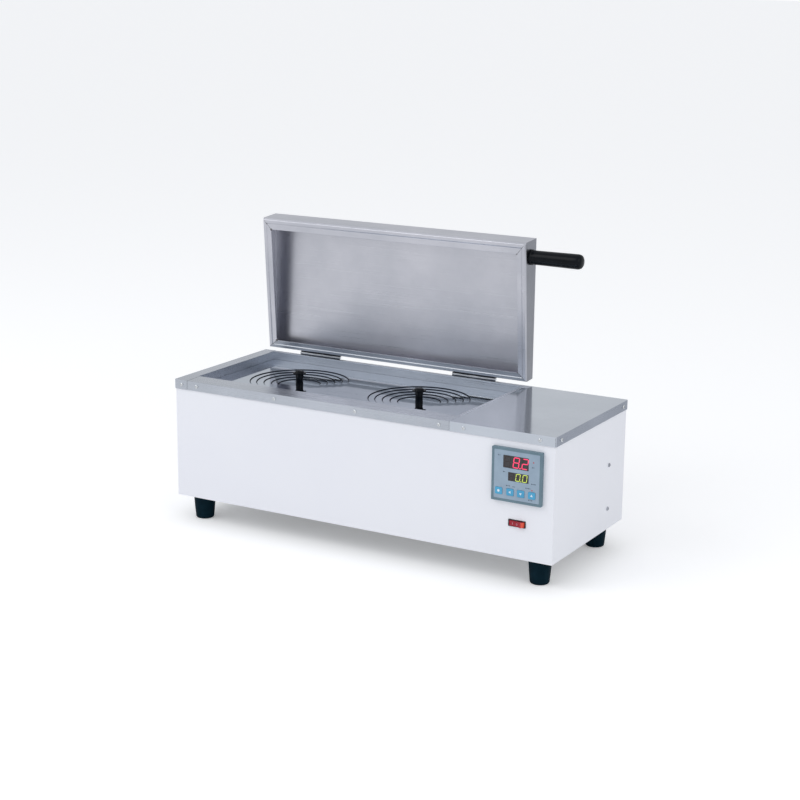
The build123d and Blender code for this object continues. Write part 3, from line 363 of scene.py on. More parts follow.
@dataclass(frozen=True)
class Moulding(Finish):
    """Moulded plastic, rubber or bakelite."""

    colour: Colour = (0.02, 0.02, 0.022)
    shade: Colour = (0.015, 0.015, 0.017)
    smooth: float = 0.3
    dull: float = 0.42
    texture: float = 0.03
    coat: float = 0.0
    shine: float = 0.5

    def make(self, shader: Shader) -> bpy.types.Material:
        """Plastic with a fine moulded texture and slight colour variation."""
        shader.fix(Metallic=0.0, Coat_Weight=self.coat, Coat_Roughness=0.12, Specular_IOR_Level=self.shine)
        shader.tint(shader.noise((60, 60, 60), 3), self.shade, self.colour)
        skin = shader.noise((1400, 1400, 1400), 3)
        shader.roughen(skin, self.smooth, self.dull)
        shader.bump(skin, self.texture)
        return shader.material


@dataclass(frozen=True)
class LitFigure(Finish):
    """A lit display segment."""

    colour: Colour = (1.0, 0.08, 0.12)
    strength: float = 1.4

    def make(self, shader: Shader) -> bpy.types.Material:
        """Glowing plastic, a little uneven along each bar."""
        shader.fix(Roughness=0.35, Emission_Color=(*self.colour, 1), Emission_Strength=self.strength)
        dim = tuple(0.75 * c for c in self.colour)
        shader.tint(shader.noise((500, 500, 500), 2), dim, self.colour)
        return shader.material


@dataclass(frozen=True)
class Wool(Finish):
    """Glass wool."""

    def make(self, shader: Shader) -> bpy.types.Material:
        """Matt fibres with a deep bump."""
        shader.fix(Roughness=0.95)
        fibre = shader.noise((90, 600, 600), 5, 0.7)
        shader.tint(fibre, (0.62, 0.52, 0.22), (0.86, 0.78, 0.48))
        shader.bump(fibre, 0.8, 0.9)
        return shader.material


TOP_STEEL = SteelSheet("top_steel", light=(0.62, 0.66, 0.72), dark=(0.55, 0.59, 0.65), smooth=0.07, dull=0.16,
                       scratch=0.006)
# painted shade: a darker copy of the top steel, for the cover's faces turned to the right
PAINTED_SHADE_END_STEEL = SteelSheet("painted_shade_end_steel", light=(0.38, 0.41, 0.48), dark=(0.31, 0.34, 0.40), smooth=0.18, dull=0.32,
                       grain=Grain.ALONG_Y)
RAIL_STEEL = SteelSheet("rail_steel", light=(0.56, 0.59, 0.65), dark=(0.48, 0.51, 0.56), smooth=0.2, dull=0.34)
SIDE_RAIL_STEEL = SteelSheet("side_rail_steel", light=(0.56, 0.59, 0.65), dark=(0.48, 0.51, 0.56), smooth=0.2,
                             dull=0.34, grain=Grain.ALONG_Y)
LID_STEEL = SteelSheet("lid_steel", light=(0.65, 0.65, 0.70), dark=(0.53, 0.54, 0.59), smooth=0.26, dull=0.38)
# painted shade: a darker copy of the lid steel, for the lid's right outer wall
LID_PAINTED_SHADE_STEEL = SteelSheet("lid_painted_shade_steel", light=(0.36, 0.37, 0.41), dark=(0.27, 0.28, 0.31), smooth=0.2, dull=0.34,
                           grain=Grain.ALONG_Z)
# painted shade: a darker copy of the lid steel, for the low front faces of the lid's lip
LIP_PAINTED_SHADE_STEEL = SteelSheet("lip_painted_shade_steel", light=(0.40, 0.42, 0.46), dark=(0.28, 0.30, 0.34), smooth=0.24, dull=0.36)
WELD_STEEL = SteelSheet("weld_steel", light=(0.30, 0.29, 0.29), dark=(0.10, 0.10, 0.11), smooth=0.4, dull=0.6,
                        grain=Grain.TURNED, scratch=0.15)
PLATE_STEEL = SteelSheet("plate_steel", light=(0.50, 0.55, 0.62), dark=(0.43, 0.48, 0.55), smooth=0.03, dull=0.07,
                         scratch=0.003)
TANK_STEEL = SteelSheet("tank_steel", light=(0.66, 0.69, 0.75), dark=(0.55, 0.58, 0.64), smooth=0.24, dull=0.38)
HINGE_STEEL = SteelSheet("hinge_steel", light=(0.50, 0.51, 0.53), dark=(0.30, 0.31, 0.33), smooth=0.25, dull=0.4)
WALL_SCREW = SteelSheet("wall_screw", light=(0.46, 0.48, 0.53), dark=(0.36, 0.38, 0.42), smooth=0.3, dull=0.45,
                        grain=Grain.TURNED)
SCREW_STEEL = SteelSheet("screw_steel", light=(0.80, 0.82, 0.84), dark=(0.66, 0.68, 0.70), smooth=0.15, dull=0.3,
                         grain=Grain.TURNED, scratch=0.01)
ZINC = SteelSheet("zinc_sheet", light=(0.58, 0.60, 0.62), dark=(0.42, 0.44, 0.46), smooth=0.35, dull=0.55,
                  grain=Grain.TURNED)
SHEATH = SteelSheet("heater_sheath", light=(0.34, 0.33, 0.34), dark=(0.18, 0.17, 0.18), smooth=0.35, dull=0.5,
                    grain=Grain.TURNED)
# painted shade: near-black steel for the ring edges and walls, the plate's walls and the hinge leaves, where shade
# falls
PAINTED_SHADE_LINE_STEEL = SteelSheet("painted_shade_line_steel", light=(0.07, 0.08, 0.10), dark=(0.04, 0.045, 0.06), smooth=0.45, dull=0.6,
                        grain=Grain.TURNED)
BRASS = SteelSheet("brass", light=(0.80, 0.60, 0.27), dark=(0.66, 0.47, 0.19), smooth=0.2, dull=0.36,
                   grain=Grain.TURNED)
ENAMEL = Enamel("casing_enamel")
BAKELITE = Moulding("bakelite", (0.004, 0.006, 0.009), (0.002, 0.003, 0.005), 0.2, 0.3, 0.01, 0.04, 0.12)
RUBBER = Moulding("foot_rubber", (0.004, 0.019, 0.030), (0.002, 0.012, 0.020), 0.42, 0.58, 0.05, 0.0, 0.04)
BLACK_PLASTIC = Moulding("black_plastic", (0.022, 0.022, 0.024), (0.014, 0.014, 0.016), 0.35, 0.5)
BEZEL_PLASTIC = Moulding("bezel_plastic", (0.150, 0.235, 0.285), (0.125, 0.20, 0.25), 0.35, 0.48, 0.02)
FACE_FILM = Moulding("face_film", (0.33, 0.43, 0.53), (0.29, 0.38, 0.48), 0.3, 0.4, 0.006)
PRINT_DARK = Moulding("dark_print", (0.05, 0.07, 0.11), (0.04, 0.055, 0.09), 0.4, 0.5, 0.002)
PRINT_LIGHT = Moulding("light_print", (0.78, 0.88, 0.95), (0.70, 0.80, 0.88), 0.4, 0.5, 0.002)
WINDOW = Moulding("display_window", (0.012, 0.008, 0.010), (0.006, 0.005, 0.006), 0.08, 0.14, 0.002, 0.8)
KEY_BLUE = Moulding("key_blue", (0.07, 0.40, 0.66), (0.055, 0.34, 0.58), 0.22, 0.32, 0.006, 0.3)
ROCKER_RED = Moulding("rocker_red", (0.40, 0.020, 0.038), (0.30, 0.013, 0.026), 0.2, 0.3, 0.004, 0.1, 0.25)
ROCKER_MARK = Moulding("rocker_mark", (0.55, 0.26, 0.32), (0.45, 0.20, 0.26), 0.3, 0.4, 0.002)
LAMP_DOT = Moulding("lamp_dot", (0.62, 0.016, 0.016), (0.50, 0.010, 0.012), 0.14, 0.24, 0.004, 0.5)
# painted highlight: a bright orange-red copy of the rocker red, for the rocker's right-facing end
ROCKER_PAINTED_HIGHLIGHT = Moulding("rocker_painted_highlight_end", (0.86, 0.085, 0.03), (0.76, 0.05, 0.02), 0.16, 0.26, 0.004, 0.4)
LEVER_RED = Moulding("lever_red", (0.45, 0.02, 0.02), (0.36, 0.015, 0.015), 0.3, 0.45)
IVORY = Moulding("terminal_ivory", (0.66, 0.62, 0.50), (0.58, 0.54, 0.43), 0.4, 0.5)
RED_FIGURE = LitFigure("red_figure", (0.85, 0.05, 0.14), 0.85)
GREEN_FIGURE = LitFigure("green_figure", (0.50, 0.62, 0.10), 0.75)
UNLIT_FIGURE = Moulding("unlit_figure", (0.035, 0.024, 0.026), (0.028, 0.020, 0.021), 0.3, 0.4, 0.002)
WOOL = Wool("glass_wool")


# ---- pieces ----------------------------------------------------------------------------------------------------
SHADE_ANGLE = math.radians(32)


def shade(data: bpy.types.Mesh) -> None:
    """Gives a mesh smooth normals that lean to its large faces, so flat sheets stay flat between soft edges."""
    data.polygons.foreach_set("use_smooth", [True] * len(data.polygons))
    data.set_sharp_from_angle(angle=SHADE_ANGLE)
    bm = bmesh.new()
    bm.from_mesh(data)
    areas = {face: face.calc_area() for face in bm.faces}
    soft = {edge for edge in bm.edges if edge.is_manifold and edge.calc_face_angle(0) < SHADE_ANGLE}
    normals = []
    for face in bm.faces:
        for corner in face.loops:
            fan, waiting, total = {face}, [face], Vector()
            while waiting:
                here = waiting.pop()
                total += here.normal * areas[here]
                for edge in corner.vert.link_edges:
                    if edge in soft and here in edge.link_faces:
                        fresh = [other for other in edge.link_faces if other not in fan]
                        fan.update(fresh)
                        waiting += fresh
            normals.append(total.normalized())
    bm.free()
    data.normals_split_custom_set(normals)


def piece(name: str, mesh: bmesh.types.BMesh, finish: Finish, body: str,
          replaced: tuple[str, ...] = (), place: Matrix | None = None) -> bpy.types.Object:
    """Makes a scene object of a mesh and fastens it to its body.

    Args:
        name: the piece's name.
        mesh: its mesh in metres, freed here.
        finish: its finish.
        body: the CAD body that it rides.
        replaced: CAD nodes that it stands for.
        place: where the mesh goes in the row frame.

    Returns:
        The object.
    """
    if place is not None:
        bmesh.ops.transform(mesh, matrix=place, verts=mesh.verts)
    data = bpy.data.meshes.new(name)
    mesh.to_mesh(data)
    mesh.free()
    shade(data)
    data.materials.append(finish.material())
    made = bpy.data.objects.new(name, data)
    bpy.context.scene.collection.objects.link(made)
    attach(made, body)
    if replaced:
        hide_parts(*replaced)
    LOG.info("%s rides %s", name, body)
    return made


def paint_faces(made: bpy.types.Object, finish: Finish, wanted: Callable[[bpy.types.MeshPolygon], bool]) -> None:
    """Gives the faces of a piece that pass a test another finish.

    Args:
        made: the piece.
        finish: the other finish.
        wanted: says of a face whether it takes that finish.
    """
    made.data.materials.append(finish.material())
    for face in made.data.polygons:
        if wanted(face):
            face.material_index = len(made.data.materials) - 1


def dress(finish: Finish, *nodes: str) -> None:
    """Gives CAD nodes that are shown as they are their finish."""
    for node in nodes:
        slots = frame["nodes"][node].data.materials
        slots.clear()
        slots.append(finish.material())
        LOG.info("%s dressed in %s", node, finish.name)


def refined(node: str, finish: Finish, body: str, bevel: float,
            angle: float = 35.0) -> bpy.types.Object:
    """Replaces a CAD node by its finer copy with broken edges, and returns the copy."""
    return piece(f"{node}_sheet", MeshMaker.from_node(node, bevel, angle), finish, body, (node,))


# Turns that point a mesh made along +Z to the front, the rear, the left or the right.
FACE_FRONT = Matrix.Rotation(math.radians(90), 4, "X")
FACE_REAR = Matrix.Rotation(math.radians(-90), 4, "X")
FACE_LEFT = Matrix.Rotation(math.radians(-90), 4, "Y")
FACE_RIGHT = Matrix.Rotation(math.radians(90), 4, "Y")


@dataclass
class PanScrew:
    """A pan-head screw with a cross recess, made along +Z with its seat at zero."""

    head_radius: float = 2.8
    head_height: float = 1.6
    recess: float = 3.1
    recess_width: float = 0.75
    recess_depth: float = 0.8
    shank_radius: float = 1.5
    shank_length: float = 5.8

    def mesh(self) -> bmesh.types.BMesh:
        """The domed head with its cross, and the shank."""
        r, h = self.head_radius, self.head_height
        half, arm = self.recess_width / 2, self.recess / 2
        top, floor = h, h - self.recess_depth
        bm = bmesh.new()
        cross = [(half, half), (half, arm), (-half, arm), (-half, half), (-arm, half), (-arm, -half),
                 (-half, -half), (-half, -arm), (half, -arm), (half, -half), (arm, -half), (arm, half)]
        count = len(cross)
        high = [bm.verts.new((x * MM, y * MM, top * MM)) for x, y in cross]
        low = [bm.verts.new((x * MM, y * MM, floor * MM)) for x, y in cross]
        bm.faces.new(low)
        for k in range(count):
            n = (k + 1) % count
            bm.faces.new((high[k], high[n], low[n], low[k]))
        angles = [math.atan2(y, x) for x, y in cross]
        profile = [(r * 0.66, top), (r * 0.86, h * 0.8), (r * 0.97, h * 0.5), (r, h * 0.2), (r, 0.0),
                   (self.shank_radius, 0.0), (self.shank_radius, -self.shank_length)]
        rings = [high]
        for radius, height in profile:
            rings.append([bm.verts.new((radius * MM * math.cos(a), radius * MM * math.sin(a), height * MM))
                          for a in angles])
        for inner, outer in zip(rings, rings[1:]):
            for k in range(count):
                n = (k + 1) % count
                bm.faces.new((inner[k], inner[n], outer[n], outer[k]))
        bm.faces.new(rings[-1])
        bmesh.ops.recalc_face_normals(bm, faces=bm.faces)
        return bm


@dataclass
class Casing:
    """The painted casing, the steel top frame, its screws and the feet."""

    front_left: tuple[float, ...] = (12.1, 38.3, 170.5, 301.3)
    rear_left: tuple[float, ...] = (12.1, 38.3, 230.0)
    beside_cover: tuple[float, ...] = (430.5, 466.9, 577.5)
    length: float = 600.0
    depth: float = 232.0
    screw_z: float = 165.2
    side_inset: float = 16.0
    case_rear: float = 230.5
    case_right: float = 598.5
    panel_screws: tuple[tuple[float, float], ...] = ((9.5, 20.0), (9.5, 86.0), (590.5, 20.0), (590.5, 86.0))
    hinge_screws: tuple[float, ...] = (74.5, 122.5, 336.0, 384.0)
    hinge_leaf_y: float = 233.0
    wall_screws: tuple[tuple[float, float], ...] = ((177.0, 29.7), (177.0, 91.9))
    foot_height: float = 36.0
    foot_places: tuple[tuple[float, float], ...] = ((30.0, 26.8), (570.0, 26.8), (30.0, 205.2), (570.0, 205.2))

    def build(self) -> None:
        """Makes the sheet pieces, the screws and the feet."""
        refined("casing_wrap", ENAMEL, "root", 0.45)
        refined("rear_panel", ENAMEL, "root", 0.25)
        refined("left_rail", SIDE_RAIL_STEEL, "root", 0.4)
        refined("front_rail", RAIL_STEEL, "root", 0.4)
        refined("rear_rail", RAIL_STEEL, "root", 0.4)
        cover = refined("control_cover", TOP_STEEL, "root", 0.4)
        # painted shade: the cover's faces turned to the right take a darker copy of its steel
        paint_faces(cover, PAINTED_SHADE_END_STEEL, lambda face: face.normal.x > 0.9)
        dress(ZINC, "base_plate", "bulkhead", "relay_bracket")
        self.screws()
        self.feet()

    def screw_places(self) -> list[Matrix]:
        """Where the bright screws go, each turned the way that it faces."""
        at = CasingFrame.move
        z = self.screw_z
        places = [at(x, 0, z) @ FACE_FRONT for x in self.front_left + self.beside_cover]
        places += [at(x, self.depth, z) @ FACE_REAR for x in self.rear_left + self.beside_cover]
        places += [at(x, self.hinge_leaf_y, z) @ FACE_REAR for x in self.hinge_screws]
        places += [at(x, self.case_rear, height) @ FACE_REAR for x, height in self.panel_screws]
        for y in (self.side_inset, self.depth - self.side_inset):
            places += [at(0, y, z) @ FACE_LEFT, at(self.length, y, z) @ FACE_RIGHT]
        return places

    def screws(self) -> None:
        """The bright pan-head screws and the two duller ones in the right wall."""
        bright = []
        for index, place in enumerate(self.screw_places()):
            screw = PanScrew().mesh()
            turn = Matrix.Rotation(math.radians(23 + 41 * index), 4, "Z")
            bmesh.ops.transform(screw, matrix=place @ turn, verts=screw.verts)
            bright.append(screw)
        piece("rim_and_panel_screws", MeshMaker.joined(bright), SCREW_STEEL, "root",
              ("case_screws",))
        dull = []
        for y, z in self.wall_screws:
            screw = PanScrew().mesh()
            place = CasingFrame.move(self.case_right, y, z) @ FACE_RIGHT @ Matrix.Rotation(0.6, 4, "Z")
            bmesh.ops.transform(screw, matrix=place, verts=screw.verts)
            dull.append(screw)
        piece("bracket_screws", MeshMaker.joined(dull), WALL_SCREW, "root", ("side_screws",))

    def feet(self) -> None:
        """Four tapered feet with a soft shoulder and a recessed screw."""
        h = self.foot_height
        outline = [(2.7, -16.0), (6.5, -16.0), (6.5, -h), (11.6, -h), (13.1, -h + 1.5), (14.7, -18.0),
                   (15.5, -6.5), (16.05, -1.6), (15.6, -0.05), (2.7, -0.05), (2.7, -16.0)]
        profile = softened(outline, 1.2)[:-1]
        feet = []
        for x, y in self.foot_places:
            foot = MeshMaker.turned(profile, 72)
            bmesh.ops.transform(foot, matrix=CasingFrame.move(x, y, 0), verts=foot.verts)
            feet.append(foot)
        piece("tapered_feet", MeshMaker.joined(feet), RUBBER, "root", ("feet",))
        dress(SCREW_STEEL, "foot_bolts")


def is_wall(face: bpy.types.MeshPolygon) -> bool:
    """Whether a face stands upright."""
    return abs(face.normal.z) < 0.4


@dataclass
class RingSet:
    """Four nested rings and a knobbed centre lid on one side of the ring plate."""

    side: str
    plate_top: float = 160.0
    step: float = 1.1
    sheet: float = 0.8
    gap: float = 0.3
    ledge: float = 3.0
    edge: float = 1.2
    radii: tuple[float, ...] = (72.0, 62.5, 52.0, 41.0, 30.5)
    knob_height: float = 21.0
    knob_base: float = 5.6
    knob_waist: float = 5.2
    knob_neck: float = 6.8
    knob_brim: float = 9.8
    knob_dome: float = 7.2

    def build(self) -> None:
        """Makes the rings, the lid, its knob and screw."""
        low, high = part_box(f"{self.side}_centre_lid")
        middle = (low + high) / 2
        place = Matrix.Translation((middle.x, middle.y, CasingFrame.ORIGIN.z))
        for number in range(1, len(self.radii)):
            body = f"{self.side}_ring_{number}"
            mesh = MeshMaker.turned(self.ring_profile(number), 160)
            made = piece(f"{body}_sheet", mesh, PLATE_STEEL, body, (body,), place)
            self.paint_shade_on_edges(made, place, self.radii[number - 1])
        body = f"{self.side}_centre_lid"
        made = piece(f"{body}_disc", MeshMaker.turned(self.lid_profile(), 128), PLATE_STEEL, body,
                     (body,), place)
        self.paint_shade_on_edges(made, place, self.radii[-1])
        piece(f"{self.side}_spool_knob", MeshMaker.turned(self.knob_profile(), 64), BAKELITE, body,
              (f"{self.side}_knob",), place)
        dress(SCREW_STEEL, f"{self.side}_knob_screw")

    def paint_shade_on_edges(self, made: bpy.types.Object, place: Matrix, radius: float) -> None:
        """Paints shade on a ring: its upright walls and its broken outer edge take the near-black painted shade
        steel.
        """
        axis = place.to_translation().to_2d()
        reach = (radius - self.edge) * MM
        paint_faces(made, PAINTED_SHADE_LINE_STEEL, lambda face: is_wall(face) or (face.center.to_2d() - axis).length > reach)

    def ring_profile(self, number: int) -> list[Point]:
        """The closed section of one ring with the seat for the next inside it."""
        top = self.plate_top - self.step * number
        outside, inner = self.radii[number - 1], self.radii[number]
        wall, seat = inner + self.gap, top - self.step - self.sheet
        corners = [(outside - 2, top - self.sheet), (outside, top - self.sheet), (outside, top - self.edge / 4),
                   (outside - self.edge, top), (wall, top),
                   (wall, seat), (inner - self.ledge, seat), (inner - self.ledge, seat - self.sheet),
                   (wall + self.sheet, seat - self.sheet), (wall + self.sheet, top - self.sheet),
                   (outside - 2, top - self.sheet)]
        return softened(corners, 0.2, 3)[:-1]

    def lid_profile(self) -> list[Point]:
        """The section of the centre lid, drilled for its screw."""
        top = self.plate_top - self.step * len(self.radii)
        rim = self.radii[-1]
        corners = [(2.15, top), (2.15, top - self.sheet), (rim, top - self.sheet), (rim, top - self.edge / 4),
                   (rim - self.edge, top), (2.15, top)]
        return softened(corners, 0.2, 3)[:-1]

    def knob_profile(self) -> list[Point]:
        """The waisted body under a thin brim and a domed head, hollow for its screw."""
        foot = self.plate_top - self.step * len(self.radii)
        top = foot + self.knob_height
        brim = top - 3.0
        neck = brim - 1.6
        body = [(self.knob_base - 0.3, foot), (self.knob_base, foot + 0.3), (self.knob_base - 0.1, foot + 2.0),
                (self.knob_waist + 0.12, foot + 5.0), (self.knob_waist, foot + 8.8),
                (self.knob_waist + 0.3, foot + 11.5), (self.knob_waist + 0.9, foot + 14.0),
                (self.knob_neck, neck)]
        edge = [(self.knob_brim - 0.5, neck), (self.knob_brim, neck + 0.5), (self.knob_brim, brim - 0.5),
                (self.knob_brim - 0.5, brim), (self.knob_dome + 0.3, brim)]
        dome = [(self.knob_dome * math.cos(t), brim + 3.0 * math.sin(t)) for t in (0.12, 0.4, 0.7, 1.0, 1.3)]
        return [(2.15, foot), *softened(body, 0.6, 2), *edge, *dome, (0.0, top), (0.0, top - 1.2),
                (2.15, foot + 12.0)]


@dataclass
class Well:
    """The ring plate with its ring sets, and the tank and fittings under it."""

    ring_sets: tuple[RingSet, ...] = (RingSet("left"), RingSet("right"))

    def build(self) -> None:
        """Makes the ring sets and dresses the plate and the tank's parts."""
        plate = refined("ring_plate", PLATE_STEEL, "ring_plate", 0.12, 50)
        # painted shade: the plate's upright walls take near-black steel
        paint_faces(plate, PAINTED_SHADE_LINE_STEEL, is_wall)
        for ring_set in self.ring_sets:
            ring_set.build()
        dress(TANK_STEEL, "tank", "heater_shelf")
        dress(SHEATH, "heater", "temperature_probe")
        dress(BRASS, "tank_glands")
        dress(WOOL, "insulation")


@dataclass
class Lid:
    """The folded wedge lid, its mitred lips, weld marks, handle and hinges."""

    left: float = 6.0
    right: float = 444.5
    rear: float = 231.4
    depth: float = 201.5
    rim_z: float = 172.3
    rear_height: float = 20.0
    front_height: float = 35.5
    sheet: float = 1.0
    lip_side: float = 14.0
    lip_front: float = 17.0
    lip_rear: float = 12.0
    hem: float = 0.42
    step: float = 1.0
    handle_from_front: float = 23.5
    handle_height: float = 17.6
    handle_length: float = 79.0
    # half the height of the barrel's middle band that keeps the hinge steel; beyond it the leaves take painted shade
    unshaded_barrel_half: float = 1.0
    lip_shade: float = 6.0
    joint: dict = field(default_factory=lambda: next(j for j in frame["joints"] if j["name"] == "lid_hinge"))

    def swing(self) -> Matrix:
        """The matrix that takes the shut lid, where it is modelled, to its open rest pose."""
        hinge = Vector(self.joint["pos_m"])
        turn = Matrix.Rotation(math.radians(self.joint["range_deg"][0]), 4, "X")
        return Matrix.Translation(hinge) @ turn @ Matrix.Translation(-hinge)

    def build(self) -> None:
        """Makes every piece of the lid."""
        swing = self.swing()
        shell = piece("folded_lid", self.shell(), LID_STEEL, "lid", ("lid_shell",), swing)
        axis_z = self.joint["pos_m"][2]
        lip_top = axis_z + (self.lip_rear + self.lip_shade) * MM
        # painted shade: the lip's front-facing faces below lip_top take a darker copy of the lid steel
        paint_faces(shell, LIP_PAINTED_SHADE_STEEL, lambda face: face.normal.y < -0.5 and face.center.z < lip_top)
        # painted shade: the lid's right outer wall takes a darker copy of the lid steel
        paint_faces(shell, LID_PAINTED_SHADE_STEEL, lambda face: face.normal.x > 0.9 and face.center.x > 0)
        piece("mitre_welds", self.welds(), WELD_STEEL, "lid", (), swing)
        y = self.rear - self.depth + self.handle_from_front
        root = CasingFrame.move(self.right, y, self.rim_z + self.handle_height)
        piece("bar_handle", MeshMaker.turned(self.handle_profile(), 72), BAKELITE, "lid",
              ("lid_handle",), swing @ root @ FACE_RIGHT)
        dress(SCREW_STEEL, "handle_stud", "hinge_lid_rivets")
        for node, body in (("hinge_fixed_leaves", "root"), ("hinge_lid_leaves", "lid")):
            made = refined(node, HINGE_STEEL, body, 0.15, 50)
            # painted shade: hinge faces away from the barrel's middle band, except those turned to the rear, take
            # near-black steel
            paint_faces(made, PAINTED_SHADE_LINE_STEEL, lambda face: face.normal.y < 0.5
                        and abs(face.center.z - axis_z) > self.unshaded_barrel_half * MM)
        dress(SCREW_STEEL, "hinge_pins")

    def height(self, inset: float) -> tuple[float, float]:
        """The roof's height over the rim at its rear and front edges, drawn in by inset."""
        slope = (self.front_height - self.rear_height) / self.depth
        return self.rear_height + slope * inset, self.front_height - slope * inset

    def loop(self, bm: bmesh.types.BMesh, insets: tuple[float, float, float], rear_v: float,
             front_v: float) -> list[bmesh.types.BMVert]:
        """Four corners of a rectangle round the lid.

        Args:
            bm: the mesh that takes the corners.
            insets: how far it is drawn in at the sides, the front and the rear.
            rear_v: its height over the rim along the rear.
            front_v: its height over the rim along the front.

        Returns:
            The corners, in order round the lid.
        """
        side, front, rear = insets
        x0, x1 = self.left + side, self.right - side
        y0, y1 = self.rear - self.depth + front, self.rear - rear
        corners = ((x0, y0, front_v), (x1, y0, front_v), (x1, y1, rear_v), (x0, y1, rear_v))
        return [bm.verts.new(CasingFrame.at(x, y, self.rim_z + v)) for x, y, v in corners]

    def shell(self) -> bmesh.types.BMesh:
        """The roof, walls and lips as one folded sheet, mitred at the corners."""
        bm = bmesh.new()
        t, step = self.sheet, self.step
        lips = (self.lip_side, self.lip_front, self.lip_rear)
        hems = tuple(self.hem * lip for lip in lips)
        folds = tuple(hem + step for hem in hems)
        roof_rear, roof_front = self.height(0)
        under_rear, under_front = self.height(t)
        loops = [
            self.loop(bm, (0, 0, 0), roof_rear, roof_front),
            self.loop(bm, (0, 0, 0), 2.2, 3.0),
            self.loop(bm, (1.6, 2.6, 1.6), 0, 0),
            self.loop(bm, hems, 0, 0),
            self.loop(bm, folds, step, step),
            self.loop(bm, lips, step, step),
            self.loop(bm, lips, step + t * 0.8, step + t * 0.8),
            self.loop(bm, (t, t, t), step + t * 0.8, step + t * 0.8),
            self.loop(bm, (t, t, t), under_rear - t, under_front - t),
        ]
        for outer, inner in zip(loops, loops[1:]):
            for k in range(4):
                n = (k + 1) % 4
                bm.faces.new((outer[k], outer[n], inner[n], inner[k]))
        bm.faces.new(loops[0])
        bm.faces.new(loops[-1])
        bmesh.ops.recalc_face_normals(bm, faces=bm.faces)
        bent = [e for e in bm.edges if e.calc_face_angle(0) > math.radians(20)]
        bmesh.ops.bevel(bm, geom=bent, offset=0.45 * MM, segments=3, affect="EDGES", profile=0.6)
        return bm

    def welds(self) -> bmesh.types.BMesh:
        """A dark seam along each mitre of the lips, with an uneven bead at its inner end."""
        parts = []
        for sx, x_edge in ((1, self.left), (-1, self.right)):
            for sy, y_edge, lip in ((1, self.rear - self.depth, self.lip_front), (-1, self.rear, self.lip_rear)):
                start = (x_edge + sx * 2.2, y_edge + sy * (3.2 if sy > 0 else 2.2))
                end = (x_edge + sx * self.lip_side, y_edge + sy * lip)
                middle = (start[0] * 0.55 + end[0] * 0.45, start[1] * 0.55 + end[1] * 0.45)
                parts.append(self.seam(start, middle, 0.01, 0.5))
                parts.append(self.seam(middle, end, self.step - 0.02, 0.6))
                parts.append(self.bead(end, self.step - 0.25, 1.5 + 0.4 * sx))
        return MeshMaker.joined(parts)

    def seam(self, start: Point, end: Point, v: float, width: float) -> bmesh.types.BMesh:
        """A thin ribbon on the lip between two points, v above the rim plane."""
        a, b = Vector(start), Vector(end)
        across = Vector((-(b - a).y, (b - a).x)).normalized() * width / 2
        middle = (a + b) / 2
        outline = [a - across * 0.3, middle - across, b - across * 0.7, b + across * 0.7, middle + across * 1.2,
                   a + across * 0.3]
        bm = bmesh.new()
        low = [bm.verts.new(CasingFrame.at(p.x, p.y, self.rim_z + v - 0.04)) for p in outline]
        high = [bm.verts.new(CasingFrame.at(p.x, p.y, self.rim_z + v + 0.3)) for p in outline]
        bm.faces.new(low)
        bm.faces.new(high)
        for k in range(len(low)):
            n = (k + 1) % len(low)
            bm.faces.new((low[k], low[n], high[n], high[k]))
        bmesh.ops.recalc_face_normals(bm, faces=bm.faces)
        return bm

    def bead(self, centre: Point, v: float, radius: float) -> bmesh.types.BMesh:
        """A flattened, lumpy weld bead."""
        bm = bmesh.new()
        bmesh.ops.create_icosphere(bm, subdivisions=3, radius=radius * MM)
        for vert in bm.verts:
            lump = 1 + 0.18 * math.sin(vert.co.x * 5200) * math.cos(vert.co.y * 4300 + vert.co.z * 3000)
            vert.co = Vector((vert.co.x * lump, vert.co.y * lump, vert.co.z * 0.42))
        place = CasingFrame.move(centre[0], centre[1], self.rim_z + v + 0.5)
        bmesh.ops.transform(bm, matrix=place, verts=bm.verts)
        return bm

    def handle_profile(self) -> list[Point]:
        """A collar at the root, a slightly swelling grip and a round end."""
        end = self.handle_length
        return [(3.15, 0.0), (10.6, 0.0), (11.0, 0.6), (11.0, 2.6), (10.6, 3.2), (10.05, 3.7), (10.0, 5.0),
                (10.15, 20.0), (10.35, 42.0), (10.6, end - 12), (10.6, end - 7), (10.2, end - 4.4),
                (9.1, end - 2.3), (7.2, end - 0.9), (4.5, end - 0.2), (0.0, end), (0.0, 32.0), (3.15, 31.0)]


class Segment(Enum):
    """The bars of a seven-segment figure: ends as fractions of its width and height."""

    TOP = ((0, 2), (1, 2))
    UPPER_RIGHT = ((1, 2), (1, 1))
    LOWER_RIGHT = ((1, 1), (1, 0))
    BOTTOM = ((0, 0), (1, 0))
    LOWER_LEFT = ((0, 1), (0, 0))
    UPPER_LEFT = ((0, 2), (0, 1))
    MIDDLE = ((0, 1), (1, 1))


LIT_BARS = {
    "8": tuple(Segment),
    "2": (Segment.TOP, Segment.UPPER_RIGHT, Segment.MIDDLE, Segment.LOWER_LEFT, Segment.BOTTOM),
    "0": tuple(bar for bar in Segment if bar is not Segment.MIDDLE),
    " ": (),
}


